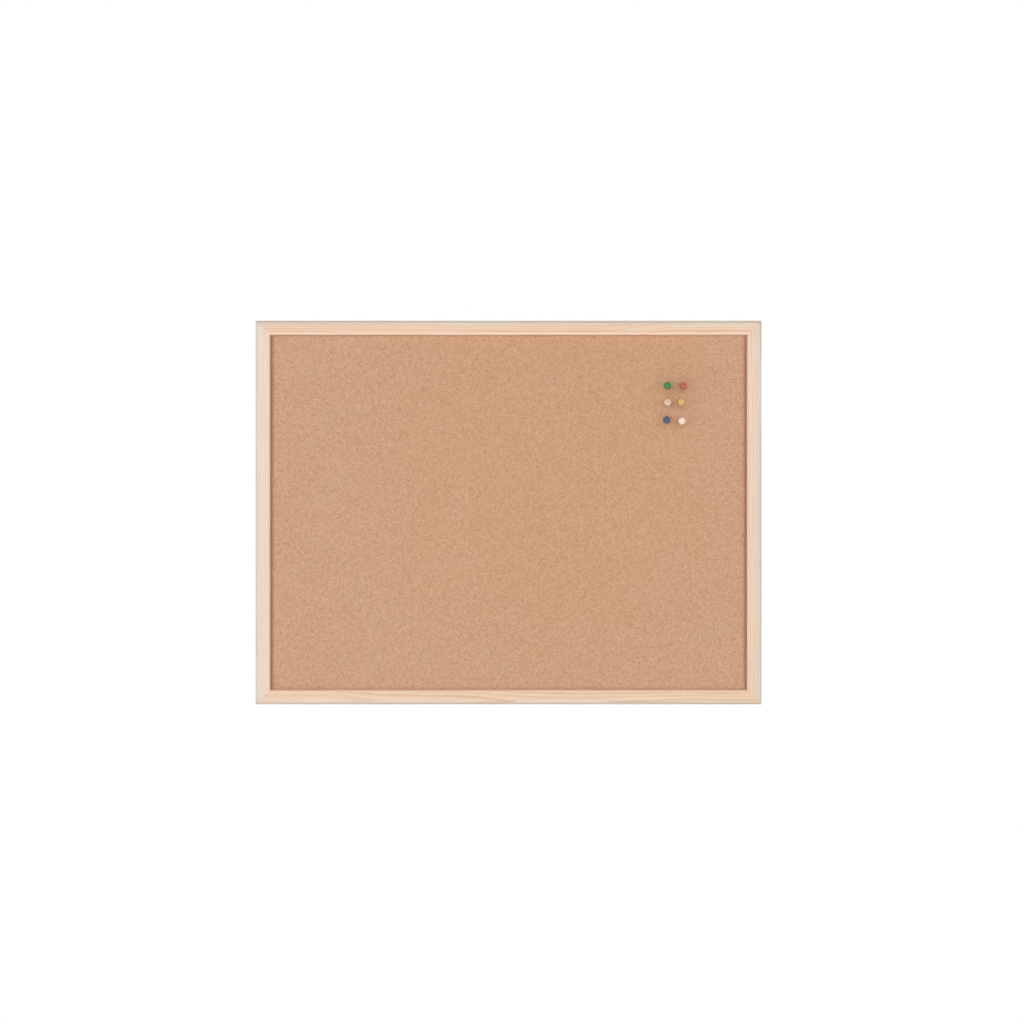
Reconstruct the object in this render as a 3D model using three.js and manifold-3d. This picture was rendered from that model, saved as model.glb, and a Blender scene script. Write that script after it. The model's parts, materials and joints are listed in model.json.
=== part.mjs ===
// Cork notice board in a mitred pine frame, hung on two rings, with six push pins in it.
// Millimetres. +X runs along the width, the cork faces -Y and +Z is up.
// The frame's back lies in the plane y = 0. The origin is in that plane, midway between the
// points where the two rings bear on their wall hooks.
import * as THREE from 'three';
import { mergeVertices } from 'three/addons/utils/BufferGeometryUtils.js';
import Module from 'manifold-3d';

const wasm = await Module();
wasm.setup();

// Overall size
const BOARD_WIDTH = 600;
const BOARD_HEIGHT = 455;

// Clearances
const MITRE_GAP = 0.3;
const FIT_CLEARANCE = 0.3;
const SEAT_GAP = 0.1;
const GLUE_LINE = 0.1;
const PANEL_SEAT_GAP = 0.3;
const PANEL_PLAY = 0.8;
const CUT_OVERRUN = 2;

// Moulding section of the frame
const FACE_WIDTH = 17.5;
const LIP_THICKNESS = 5;
const LIP_OVERLAP = 4.9;
const OUTER_FILLET = 5;
const BEAD_RADIUS = 3;
const QUIRK_DEPTH = 0.55;
const QUIRK_WIDTH = 1.2;
const BACK_ARRIS = 0.6;

// Cork sheet and soft fibreboard core
const CORK_THICKNESS = 3;
const CORE_THICKNESS = 8;
const BACK_RECESS = 1.6;

// V-shaped corner nails
const NAIL_LEG = 4.5;
const NAIL_THICKNESS = 0.5;
const NAIL_HEIGHT = 10;
const NAIL_SINK = 0.3;
const NAIL_APEX_SHARES = [0.32, 0.64];

// Flat retaining points that hold the panel in the rabbet
const POINT_WIDTH = 8;
const POINT_BITE = 6.5;
const POINT_REACH = 8;
const POINT_THICKNESS = 0.5;
const POINT_SEAT_GAP = 0.2;
const LONG_RAIL_POINT_SHARES = [-0.34, 0, 0.34];
const SHORT_RAIL_POINT_SHARES = [-0.165, 0.165];

// Strap hangers and their wire rings
const HANGER_DROP = 90;
const HANGER_EDGE_MARGIN = 0.7;
const STRAP_WIDTH = 8;
const STRAP_SHEET = 0.7;
const WIRE_DIAMETER = 1.6;
const RING_BEND = 1.4;
const RING_SHOULDER = 4;
const RING_BUTT_GAP = 0.4;

// Pan-head hanger screws
const SCREW_BELOW_HINGE = 14.5;
const SCREW_HEAD_DIAMETER = 5.6;
const SCREW_HEAD_HEIGHT = 2;
const SCREW_SHANK_DIAMETER = 2.9;
const SCREW_LENGTH = 11;
const SCREW_TIP = 2.6;
const SCREW_SLOT_WIDTH = 0.8;
const SCREW_SLOT_LENGTH = 3.4;
const SCREW_SLOT_DEPTH = 1.1;

// Push pins
const FLANGE_DIAMETER = 8.6;
const FLANGE_THICKNESS = 1.2;
const WAIST_DIAMETER = 4.6;
const GRIP_DIAMETER = 8;
const GRIP_HEIGHT = 4.6;
const GRIP_EDGE = 1;
const HEAD_HEIGHT = 12.5;
const SWEEP_RISE = 2.4;
const FLARE_RISE = 2.2;
const NEEDLE_DIAMETER = 1.1;
const NEEDLE_LENGTH = 10.2;
const NEEDLE_SOCKET = 7;
const NEEDLE_TIP = 2.6;
const PIN_SEAT_GAP = 0.3;

// The pins' place on the cork, from the frame's inner edges, and the steps between them
const PINS_FROM_RIGHT = 85.5;
const PINS_FROM_TOP = 80;
const PIN_COLUMN_STEP = 18;
const PIN_ROW_STEP = 20.4;

// Facet counts
const FILLET_STEPS = 6;
const BEAD_STEPS = 9;
const EYE_STEPS = 16;
const STRAP_END_STEPS = 10;
const WIRE_SIDES = 8;
const RING_STEPS = 56;
const ROUND_SIDES = 20;
const SMALL_ROUND_SIDES = 12;
const EDGE_STEPS = 3;
const SWEEP_STEPS = 4;

// Depths of the layers, counted from the frame's back plane
const PANEL_THICKNESS = CORK_THICKNESS + GLUE_LINE + CORE_THICKNESS;
const FRAME_DEPTH = LIP_THICKNESS + PANEL_SEAT_GAP + PANEL_THICKNESS + BACK_RECESS;
const FRONT_Y = -FRAME_DEPTH;
const CORK_FRONT_Y = FRONT_Y + LIP_THICKNESS + PANEL_SEAT_GAP;
const CORK_BACK_Y = CORK_FRONT_Y + CORK_THICKNESS;
const CORE_FRONT_Y = CORK_BACK_Y + GLUE_LINE;
const CORE_BACK_Y = CORE_FRONT_Y + CORE_THICKNESS;
const POINT_FRONT_Y = CORE_BACK_Y + POINT_SEAT_GAP;

// Places inside the frame
const RABBET_WALL = FACE_WIDTH - LIP_OVERLAP;
const PANEL_WIDTH = BOARD_WIDTH - 2 * RABBET_WALL - 2 * PANEL_PLAY;
const PANEL_HEIGHT = BOARD_HEIGHT - 2 * RABBET_WALL - 2 * PANEL_PLAY;

// Hanger geometry worked out from the wire and the strap's sheet
const WIRE_RADIUS = WIRE_DIAMETER / 2;
const EYE_INNER_RADIUS = WIRE_RADIUS + FIT_CLEARANCE;
const EYE_OUTER_RADIUS = EYE_INNER_RADIUS + STRAP_SHEET;
const STRAP_TOP_Y = SEAT_GAP + 2 * STRAP_SHEET;
const HINGE_Y = SEAT_GAP + EYE_OUTER_RADIUS;
const RING_HALF_WIDTH = STRAP_WIDTH / 2 + FIT_CLEARANCE + RING_BEND;
const RING_REACH = RING_SHOULDER + RING_HALF_WIDTH;
const RING_LEAN = Math.asin((HINGE_Y - WIRE_RADIUS - FIT_CLEARANCE) / RING_REACH);
const HINGE_Z = -(RING_REACH - WIRE_RADIUS) * Math.cos(RING_LEAN);
const SCREW_Z = HINGE_Z - SCREW_BELOW_HINGE;
const HANGER_INSET = RING_HALF_WIDTH + WIRE_RADIUS + HANGER_EDGE_MARGIN;
const HANGER_X = BOARD_WIDTH / 2 - HANGER_INSET;
const SCREW_SEAT_Y = STRAP_TOP_Y + SEAT_GAP;
const SCREW_HOLE_RADIUS = SCREW_SHANK_DIAMETER / 2 + FIT_CLEARANCE;

// The middle of the frame, seen from the origin
const FRAME_CENTRE_Z = HINGE_Z + HANGER_DROP - BOARD_HEIGHT / 2;

// Push pins stand off the cork's face, each with its colour, column, row and hand-set scatter
const PIN_SEAT_Y = CORK_FRONT_Y - PIN_SEAT_GAP;
const NEEDLE_RADIUS = NEEDLE_DIAMETER / 2;
const NEEDLE_HOLE_RADIUS = NEEDLE_RADIUS + FIT_CLEARANCE;
const PINS_X = BOARD_WIDTH / 2 - FACE_WIDTH - PINS_FROM_RIGHT;
const PINS_Z = BOARD_HEIGHT / 2 - FACE_WIDTH - PINS_FROM_TOP;
const PINS = [
  { name: 'green', color: 0x2f8f4e, column: -0.5, row: 1, scatterShares: [0.03, 0.01] },
  { name: 'red', color: 0xc8403c, column: 0.5, row: 1, scatterShares: [0.07, -0.005] },
  { name: 'clear', color: 0xf2d3bd, column: -0.5, row: 0, scatterShares: [0.02, 0.025] },
  { name: 'yellow', color: 0xe3b53c, column: 0.5, row: 0, scatterShares: [-0.08, 0.03] },
  { name: 'blue', color: 0x31508f, column: -0.5, row: -1, scatterShares: [-0.02, 0.015] },
  { name: 'white', color: 0xf4ebdf, column: 0.5, row: -1, scatterShares: [-0.03, -0.06] },
];

// The four sides of the frame, turned about Y so that each rail's own +Z points inwards
const LONG_SIDE = { length: BOARD_WIDTH, across: BOARD_HEIGHT, pointShares: LONG_RAIL_POINT_SHARES };
const SHORT_SIDE = { length: BOARD_HEIGHT, across: BOARD_WIDTH, pointShares: SHORT_RAIL_POINT_SHARES };
const SIDES = [
  { ...LONG_SIDE, name: 'bottom', turn: 0 },
  { ...SHORT_SIDE, name: 'right', turn: -90 },
  { ...LONG_SIDE, name: 'top', turn: 180 },
  { ...SHORT_SIDE, name: 'left', turn: 90 },
];

// The four corners, turned about Y so that each corner's own +X and +Z point inwards
const CORNERS = [
  { name: 'bottom_left', turn: 0, signX: -1, signZ: -1 },
  { name: 'bottom_right', turn: -90, signX: 1, signZ: -1 },
  { name: 'top_right', turn: 180, signX: 1, signZ: 1 },
  { name: 'top_left', turn: 90, signX: -1, signZ: 1 },
];

// Materials

function pine() {
  return new THREE.MeshStandardMaterial({ color: 0xe8c8af, roughness: 0.6, metalness: 0 });
}

function cork() {
  return new THREE.MeshStandardMaterial({ color: 0xc89d7f, roughness: 0.95, metalness: 0 });
}

function fibreboard() {
  return new THREE.MeshStandardMaterial({ color: 0xa08c72, roughness: 0.95, metalness: 0 });
}

function zincSteel() {
  return new THREE.MeshStandardMaterial({ color: 0xb9bcc0, roughness: 0.35, metalness: 1 });
}

function glossPlastic(color) {
  return new THREE.MeshStandardMaterial({ color, roughness: 0.25, metalness: 0 });
}

// Meshes and solids

function weld(geometry) {
  const bare = geometry.clone();
  bare.deleteAttribute('normal');
  bare.deleteAttribute('uv');
  const welded = mergeVertices(bare);
  const corners = welded.index.array;
  const kept = [];
  for (let i = 0; i < corners.length; i += 3) {
    const [a, b, c] = [corners[i], corners[i + 1], corners[i + 2]];
    if (a !== b && b !== c && c !== a) {
      kept.push(a, b, c);
    }
  }
  welded.setIndex(kept);
  return welded;
}

function toSolid(geometry) {
  const welded = weld(geometry);
  const mesh = new wasm.Mesh({
    numProp: 3,
    vertProperties: Float32Array.from(welded.attributes.position.array),
    triVerts: Uint32Array.from(welded.index.array),
  });
  return new wasm.Manifold(mesh);
}

function toGeometry(solid) {
  const mesh = solid.getMesh();
  const geometry = new THREE.BufferGeometry();
  geometry.setAttribute('position', new THREE.BufferAttribute(mesh.vertProperties, 3));
  geometry.setIndex(new THREE.BufferAttribute(mesh.triVerts, 1));
  geometry.computeVertexNormals();
  return geometry;
}

function cut(geometry, cutters) {
  let solid = toSolid(geometry);
  for (const cutter of cutters) {
    solid = solid.subtract(toSolid(cutter));
  }
  return toGeometry(solid);
}

function keepInside(geometry, envelope) {
  return toGeometry(toSolid(geometry).intersect(toSolid(envelope)));
}

function named(name, geometry, material) {
  const mesh = new THREE.Mesh(geometry, material);
  mesh.name = name;
  return mesh;
}

// Outlines and the extrusions that carry them

function arcPoints(centreX, centreY, radiusX, radiusY, fromDeg, toDeg, steps) {
  const points = [];
  for (let i = 0; i <= steps; i += 1) {
    const angle = THREE.MathUtils.degToRad(fromDeg + ((toDeg - fromDeg) * i) / steps);
    points.push(new THREE.Vector2(centreX + radiusX * Math.cos(angle), centreY + radiusY * Math.sin(angle)));
  }
  return points;
}

function extruded(shape, depth) {
  return new THREE.ExtrudeGeometry(shape, { depth, steps: 1, bevelEnabled: false });
}

// An outline in X and Z, carried along Y from the front plane to the back plane given
function prismAlongY(outline, frontY, backY) {
  const geometry = extruded(new THREE.Shape(outline), backY - frontY);
  geometry.rotateX(Math.PI / 2);
  geometry.translate(0, backY, 0);
  return geometry;
}

// An outline in Y and Z, carried along X and centred on x = 0
function prismAlongX(shape, length) {
  const geometry = extruded(shape, length);
  geometry.translate(0, 0, -length / 2);
  const axisX = new THREE.Vector3(1, 0, 0);
  const axisY = new THREE.Vector3(0, 1, 0);
  const axisZ = new THREE.Vector3(0, 0, 1);
  geometry.applyMatrix4(new THREE.Matrix4().makeBasis(axisY, axisZ, axisX));
  return geometry;
}

// A round cutter along Y at x, z, between two depths
function drill(radius, frontY, backY, x, z) {
  const geometry = new THREE.CylinderGeometry(radius, radius, backY - frontY, SMALL_ROUND_SIDES);
  geometry.translate(x, (frontY + backY) / 2, z);
  return geometry;
}

// Frame

// Section of the moulding: its first coordinate is the depth y, its second runs inwards
// from the outer side. Outer fillet, flat front, quirk, bead, sight edge and rabbet.
function mouldingSection() {
  const beadY = FRONT_Y + BEAD_RADIUS;
  const beadIn = FACE_WIDTH - BEAD_RADIUS;
  const quirkAngle = THREE.MathUtils.radToDeg(Math.acos((BEAD_RADIUS - QUIRK_DEPTH) / BEAD_RADIUS));
  const bead = arcPoints(beadY, beadIn, BEAD_RADIUS, BEAD_RADIUS, 180 + quirkAngle, 90, BEAD_STEPS);
  const points = [
    new THREE.Vector2(-BACK_ARRIS, 0),
    ...arcPoints(FRONT_Y + OUTER_FILLET, OUTER_FILLET, OUTER_FILLET, OUTER_FILLET, 270, 180, FILLET_STEPS),
    new THREE.Vector2(FRONT_Y, bead[0].y - QUIRK_WIDTH),
    ...bead,
    new THREE.Vector2(FRONT_Y + LIP_THICKNESS, FACE_WIDTH),
    new THREE.Vector2(FRONT_Y + LIP_THICKNESS, RABBET_WALL),
    new THREE.Vector2(0, RABBET_WALL),
    new THREE.Vector2(0, BACK_ARRIS),
  ];
  return new THREE.Shape(points);
}

// The saw cut that mitres one end of a rail; side is -1 or 1 along the rail
function mitreCutter(length, side) {
  const gapAlong = (MITRE_GAP / 2) * Math.SQRT2;
  const end = length / 2 - gapAlong;
  const deep = FACE_WIDTH + CUT_OVERRUN;
  const beyond = length / 2 + CUT_OVERRUN;
  const outline = [
    new THREE.Vector2(side * (end + CUT_OVERRUN), -CUT_OVERRUN),
    new THREE.Vector2(side * (beyond + CUT_OVERRUN), -CUT_OVERRUN),
    new THREE.Vector2(side * (beyond + CUT_OVERRUN), deep),
    new THREE.Vector2(side * (end - deep), deep),
  ];
  return prismAlongY(outline, FRONT_Y - CUT_OVERRUN, CUT_OVERRUN);
}

// V-shaped outline with its apex on the mitre line and one leg along each rail
function chevron(apex, grow) {
  const half = NAIL_THICKNESS / 2 + grow;
  const tip = apex + NAIL_LEG + grow;
  return [
    new THREE.Vector2(apex - half, apex - half),
    new THREE.Vector2(tip, apex - half),
    new THREE.Vector2(tip, apex + half),
    new THREE.Vector2(apex + half, apex + half),
    new THREE.Vector2(apex + half, tip),
    new THREE.Vector2(apex - half, tip),
  ];
}

function nailApex(share) {
  return share * RABBET_WALL;
}

// The kerf that a corner nail makes in a rail's back, at the end on the given side
function nailKerf(length, side, share) {
  const outline = chevron(nailApex(share), FIT_CLEARANCE);
  const turned = outline.map((p) => new THREE.Vector2(side * (length / 2 - p.x), p.y));
  return prismAlongY(turned, -NAIL_SINK - NAIL_HEIGHT - FIT_CLEARANCE, CUT_OVERRUN);
}

// Arrow-headed outline of a retaining point, its tip in the wood of the rabbet's wall
function pointOutline(along, grow) {
  const half = POINT_WIDTH / 2 + grow;
  const tip = RABBET_WALL - POINT_BITE - grow;
  const shoulder = tip + half;
  const tail = RABBET_WALL + POINT_REACH + grow;
  return [
    new THREE.Vector2(along, tip),
    new THREE.Vector2(along + half, shoulder),
    new THREE.Vector2(along + half, tail),
    new THREE.Vector2(along - half, tail),
    new THREE.Vector2(along - half, shoulder),
  ];
}

function pointSlot(along) {
  const frontY = POINT_FRONT_Y - FIT_CLEARANCE;
  const backY = POINT_FRONT_Y + POINT_THICKNESS + FIT_CLEARANCE;
  return prismAlongY(pointOutline(along, FIT_CLEARANCE), frontY, backY);
}

// Where the hanger's screw enters a side rail, counted along the rail from its middle
function screwAlongRail(side) {
  const above = SCREW_Z - FRAME_CENTRE_Z;
  return side.name === 'right' ? above : -above;
}

function pilotHole(side) {
  const frontY = SCREW_SEAT_Y - SCREW_LENGTH - FIT_CLEARANCE;
  return drill(SCREW_HOLE_RADIUS, frontY, CUT_OVERRUN, screwAlongRail(side), HANGER_INSET);
}

function railGeometry(side) {
  const cutters = [];
  for (const end of [-1, 1]) {
    cutters.push(mitreCutter(side.length, end));
    for (const share of NAIL_APEX_SHARES) {
      cutters.push(nailKerf(side.length, end, share));
    }
  }
  for (const share of side.pointShares) {
    cutters.push(pointSlot(share * side.length));
  }
  if (side.name === 'left' || side.name === 'right') {
    cutters.push(pilotHole(side));
  }
  return cut(prismAlongX(mouldingSection(), side.length), cutters);
}

function retainingPoint(side, number, share) {
  const outline = pointOutline(share * side.length, 0);
  const geometry = prismAlongY(outline, POINT_FRONT_Y, POINT_FRONT_Y + POINT_THICKNESS);
  return named(`retaining_point_${side.name}_${number}`, geometry, zincSteel());
}

// One side of the frame: its rail and the retaining points driven into it
function frameSide(side) {
  const group = new THREE.Group();
  group.rotation.y = THREE.MathUtils.degToRad(side.turn);
  const reach = side.across / 2;
  group.position.set(-Math.sin(group.rotation.y) * reach, 0, -Math.cos(group.rotation.y) * reach);
  group.add(named(`frame_rail_${side.name}`, railGeometry(side), pine()));
  side.pointShares.forEach((share, i) => group.add(retainingPoint(side, i + 1, share)));
  return group;
}

// The two corner nails of one mitre
function cornerNails(corner) {
  const group = new THREE.Group();
  group.position.set((corner.signX * BOARD_WIDTH) / 2, 0, (corner.signZ * BOARD_HEIGHT) / 2);
  group.rotation.y = THREE.MathUtils.degToRad(corner.turn);
  NAIL_APEX_SHARES.forEach((share, i) => {
    const geometry = prismAlongY(chevron(nailApex(share), 0), -NAIL_SINK - NAIL_HEIGHT, -NAIL_SINK);
    group.add(named(`corner_nail_${corner.name}_${i + 1}`, geometry, zincSteel()));
  });
  return group;
}

// Panel

function pinPlace(pin) {
  const x = PINS_X + (pin.column + pin.scatterShares[0]) * PIN_COLUMN_STEP;
  const z = PINS_Z + (pin.row + pin.scatterShares[1]) * PIN_ROW_STEP;
  return { x, z };
}

function slab(frontY, backY) {
  const geometry = new THREE.BoxGeometry(PANEL_WIDTH, backY - frontY, PANEL_HEIGHT);
  geometry.translate(0, (frontY + backY) / 2, 0);
  return geometry;
}

function needleHoles(frontY, backY) {
  return PINS.map((pin) => {
    const place = pinPlace(pin);
    return drill(NEEDLE_HOLE_RADIUS, frontY, backY, place.x, place.z);
  });
}

function corkSheet() {
  const holes = needleHoles(CORK_FRONT_Y - CUT_OVERRUN, CORK_BACK_Y + CUT_OVERRUN);
  return named('cork_sheet', cut(slab(CORK_FRONT_Y, CORK_BACK_Y), holes), cork());
}

function backingBoard() {
  const holeEndY = PIN_SEAT_Y + NEEDLE_LENGTH + FIT_CLEARANCE;
  const holes = needleHoles(CORE_FRONT_Y - CUT_OVERRUN, holeEndY);
  return named('backing_board', cut(slab(CORE_FRONT_Y, CORE_BACK_Y), holes), fibreboard());
}

// Hangers

// The strap seen from its side: a strip folded back on itself round the ring's bar.
// Its outline starts at the strap's lower end, runs up the wood, round the eye and down.
function strapSection() {
  const lowerEnd = -SCREW_BELOW_HINGE - STRAP_WIDTH / 2;
  const neck = THREE.MathUtils.radToDeg(Math.acos((STRAP_TOP_Y - HINGE_Y) / EYE_OUTER_RADIUS));
  const shape = new THREE.Shape([
    new THREE.Vector2(SEAT_GAP, lowerEnd),
    ...arcPoints(HINGE_Y, 0, EYE_OUTER_RADIUS, EYE_OUTER_RADIUS, 180, -neck, EYE_STEPS),
    new THREE.Vector2(STRAP_TOP_Y, lowerEnd),
  ]);
  const bore = arcPoints(HINGE_Y, 0, EYE_INNER_RADIUS, EYE_INNER_RADIUS, 0, 360, EYE_STEPS);
  shape.holes.push(new THREE.Path(bore.slice(1)));
  return shape;
}

// The strap seen from behind: parallel sides and a round lower end about the screw
function strapEnvelope() {
  const half = STRAP_WIDTH / 2;
  const top = EYE_OUTER_RADIUS + CUT_OVERRUN;
  const outline = [
    new THREE.Vector2(half, top),
    new THREE.Vector2(-half, top),
    ...arcPoints(0, -SCREW_BELOW_HINGE, half, half, 180, 360, STRAP_END_STEPS),
  ];
  return prismAlongY(outline, -CUT_OVERRUN, HINGE_Y + EYE_OUTER_RADIUS + CUT_OVERRUN);
}

function strapGeometry() {
  const folded = keepInside(prismAlongX(strapSection(), STRAP_WIDTH), strapEnvelope());
  const screwHole = drill(SCREW_HOLE_RADIUS, -CUT_OVERRUN, STRAP_TOP_Y + CUT_OVERRUN, 0, -SCREW_BELOW_HINGE);
  return cut(folded, [screwHole]);
}

// A flat bent wire: a path in X and Z taken as a curve in space
class BentWire extends THREE.Curve {
  constructor(path) {
    super();
    this.path = path;
  }

  getPoint(t, target = new THREE.Vector3()) {
    const point = this.path.getPoint(t);
    return target.set(point.x, 0, point.y);
  }
}

// Centre line of the D-shaped ring, from one butt end on the bar round to the other
function ringPath() {
  const straight = RING_HALF_WIDTH - RING_BEND;
  const path = new THREE.Path();
  path.moveTo(RING_BUTT_GAP / 2, 0);
  path.lineTo(straight, 0);
  path.absarc(straight, RING_BEND, RING_BEND, -Math.PI / 2, 0, false);
  path.lineTo(RING_HALF_WIDTH, RING_SHOULDER);
  path.absarc(0, RING_SHOULDER, RING_HALF_WIDTH, 0, Math.PI, false);
  path.lineTo(-RING_HALF_WIDTH, RING_BEND);
  path.absarc(-straight, RING_BEND, RING_BEND, Math.PI, Math.PI * 1.5, false);
  path.lineTo(-RING_BUTT_GAP / 2, 0);
  return path;
}

function ringGeometry() {
  const section = new THREE.Shape(arcPoints(0, 0, WIRE_RADIUS, WIRE_RADIUS, 0, 360, WIRE_SIDES).slice(1));
  return new THREE.ExtrudeGeometry(section, { steps: RING_STEPS, extrudePath: new BentWire(ringPath()) });
}

// Pan head with a crossed slot, shank and point, pointing into the wood
function screwGeometry() {
  const headRadius = SCREW_HEAD_DIAMETER / 2;
  const shankRadius = SCREW_SHANK_DIAMETER / 2;
  const profile = [
    new THREE.Vector2(0, -SCREW_LENGTH),
    new THREE.Vector2(shankRadius, -SCREW_LENGTH + SCREW_TIP),
    new THREE.Vector2(shankRadius, 0),
    new THREE.Vector2(headRadius, 0),
    ...arcPoints(0, SCREW_HEAD_HEIGHT / 2, headRadius, SCREW_HEAD_HEIGHT / 2, 0, 90, SWEEP_STEPS),
  ];
  const slots = [0, Math.PI / 2].map((turn) => {
    const slot = new THREE.BoxGeometry(SCREW_SLOT_LENGTH, 2 * SCREW_SLOT_DEPTH, SCREW_SLOT_WIDTH);
    slot.rotateY(turn);
    slot.translate(0, SCREW_HEAD_HEIGHT, 0);
    return slot;
  });
  return cut(new THREE.LatheGeometry(profile, ROUND_SIDES), slots);
}

// One hanger: the strap, its screw and the ring, which leans on the rail's back
function hanger(name, x) {
  const group = new THREE.Group();
  group.position.set(x, 0, HINGE_Z);
  const ring = named(`hanger_ring_${name}`, ringGeometry(), zincSteel());
  ring.position.y = HINGE_Y;
  ring.rotation.x = RING_LEAN;
  const screw = named(`hanger_screw_${name}`, screwGeometry(), zincSteel());
  screw.position.set(0, SCREW_SEAT_Y, -SCREW_BELOW_HINGE);
  group.add(named(`hanger_strap_${name}`, strapGeometry(), zincSteel()), screw, ring);
  return group;
}

// Push pins

// Radius against distance from the cork: needle socket, flange, waist, flare and grip
function headProfile() {
  const flangeEdge = FLANGE_THICKNESS / 2;
  const flangeFlat = FLANGE_DIAMETER / 2 - flangeEdge;
  const waist = WAIST_DIAMETER / 2;
  const gripBase = HEAD_HEIGHT - GRIP_HEIGHT;
  const gripFlat = GRIP_DIAMETER / 2 - GRIP_EDGE;
  const sweepTop = FLANGE_THICKNESS + SWEEP_RISE;
  const flareBase = gripBase - FLARE_RISE;
  return [
    new THREE.Vector2(0, NEEDLE_SOCKET),
    new THREE.Vector2(NEEDLE_HOLE_RADIUS, NEEDLE_SOCKET),
    new THREE.Vector2(NEEDLE_HOLE_RADIUS, 0),
    ...arcPoints(flangeFlat, flangeEdge, flangeEdge, flangeEdge, -90, 90, 2 * EDGE_STEPS),
    ...arcPoints(flangeFlat, sweepTop, flangeFlat - waist, SWEEP_RISE, 270, 180, SWEEP_STEPS).slice(1),
    ...arcPoints(gripFlat, flareBase, gripFlat - waist, FLARE_RISE, 180, 90, SWEEP_STEPS),
    ...arcPoints(gripFlat, gripBase + GRIP_EDGE, GRIP_EDGE, GRIP_EDGE, -90, 0, EDGE_STEPS).slice(1),
    ...arcPoints(gripFlat, HEAD_HEIGHT - GRIP_EDGE, GRIP_EDGE, GRIP_EDGE, 0, 90, EDGE_STEPS),
    new THREE.Vector2(0, HEAD_HEIGHT),
  ];
}

function needleProfile() {
  return [
    new THREE.Vector2(0, -NEEDLE_LENGTH),
    new THREE.Vector2(NEEDLE_RADIUS, -NEEDLE_LENGTH + NEEDLE_TIP),
    new THREE.Vector2(NEEDLE_RADIUS, NEEDLE_SOCKET - FIT_CLEARANCE),
    new THREE.Vector2(0, NEEDLE_SOCKET - FIT_CLEARANCE),
  ];
}

// Turned profiles stand along +Y, so the pin is turned to point its grip at the viewer
function pushPin(pin) {
  const group = new THREE.Group();
  const place = pinPlace(pin);
  group.position.set(place.x, PIN_SEAT_Y, place.z);
  group.rotation.x = Math.PI;
  const head = new THREE.LatheGeometry(headProfile(), ROUND_SIDES);
  const needle = new THREE.LatheGeometry(needleProfile(), SMALL_ROUND_SIDES);
  group.add(named(`pin_head_${pin.name}`, head, glossPlastic(pin.color)));
  group.add(named(`pin_needle_${pin.name}`, needle, zincSteel()));
  return group;
}

// Assembly

function corkBoard() {
  const board = new THREE.Group();
  board.position.z = FRAME_CENTRE_Z;
  SIDES.forEach((side) => board.add(frameSide(side)));
  CORNERS.forEach((corner) => board.add(cornerNails(corner)));
  board.add(corkSheet(), backingBoard());
  PINS.forEach((pin) => board.add(pushPin(pin)));
  const whole = new THREE.Group();
  whole.add(board, hanger('left', -HANGER_X), hanger('right', HANGER_X));
  return whole;
}

export default corkBoard();
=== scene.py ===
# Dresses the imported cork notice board: pine frame, cork, backing board, hangers and push pins.
# Lengths are in metres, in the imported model's own frame. The cork faces -Y and +Z is up.

import json
import math

import bmesh
import bpy
import numpy as np
from bpy.props import FloatProperty, FloatVectorProperty, IntProperty, PointerProperty
from mathutils import Color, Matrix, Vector


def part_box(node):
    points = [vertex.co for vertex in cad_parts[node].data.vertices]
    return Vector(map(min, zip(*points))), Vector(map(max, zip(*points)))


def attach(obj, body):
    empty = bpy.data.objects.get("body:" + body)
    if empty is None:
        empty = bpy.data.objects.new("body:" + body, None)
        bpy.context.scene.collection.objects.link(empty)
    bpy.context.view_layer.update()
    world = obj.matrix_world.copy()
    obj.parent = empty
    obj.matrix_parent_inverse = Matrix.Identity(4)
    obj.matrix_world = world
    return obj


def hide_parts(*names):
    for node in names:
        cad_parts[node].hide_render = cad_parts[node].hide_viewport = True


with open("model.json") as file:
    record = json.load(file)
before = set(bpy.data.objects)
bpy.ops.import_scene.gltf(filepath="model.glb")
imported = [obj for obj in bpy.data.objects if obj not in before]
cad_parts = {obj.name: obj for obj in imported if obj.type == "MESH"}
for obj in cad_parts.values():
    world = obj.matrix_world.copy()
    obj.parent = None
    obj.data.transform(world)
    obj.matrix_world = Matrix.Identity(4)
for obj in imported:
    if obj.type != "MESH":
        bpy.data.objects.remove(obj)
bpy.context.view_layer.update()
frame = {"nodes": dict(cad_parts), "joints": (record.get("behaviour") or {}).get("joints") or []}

bl_info = {
    "name": "Cork Board Dressing",
    "version": (1, 0, 0),
    "blender": (4, 5, 0),
    "location": "3D View > Sidebar > Cork Board",
    "description": "Builds the look of a pine framed cork notice board on its packed frame",
    "category": "Add Mesh",
}

SIDES = ("bottom", "right", "top", "left")
LEVEL_SIDES = ("bottom", "top")
PIN_COLOURS = ("green", "red", "clear", "yellow", "blue", "white")
WHITE = (1.0, 1.0, 1.0)
SHADE_ANGLE = math.radians(35)
MATTE_ANGLE = math.radians(60)
CUT_OVERRUN = 0.001
COARSENING = 1


def linear(red, green, blue):
    """The scene linear value of a display colour, its parts from 0 to 255."""
    shares = [part / 255 for part in (red, green, blue)]
    return tuple(s / 12.92 if s <= 0.04045 else ((s + 0.055) / 1.055) ** 2.4 for s in shares)


def spread(names):
    """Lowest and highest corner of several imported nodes."""
    boxes = [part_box(name) for name in names]
    low = [min(b[0][axis] for b in boxes) for axis in range(3)]
    high = [max(b[1][axis] for b in boxes) for axis in range(3)]
    return Vector(low), Vector(high)


def nodes_named(start):
    return sorted(name for name in frame["nodes"] if name.startswith(start))


BOARD_LOW, BOARD_HIGH = spread(nodes_named("frame_rail"))
BOARD_CENTRE = (BOARD_LOW + BOARD_HIGH) / 2
BOARD_WIDTH = BOARD_HIGH.x - BOARD_LOW.x
BOARD_HEIGHT = BOARD_HIGH.z - BOARD_LOW.z
FRONT_Y = BOARD_LOW.y
JOINTS = {joint["name"]: joint for joint in frame["joints"]}


# Settings


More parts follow.
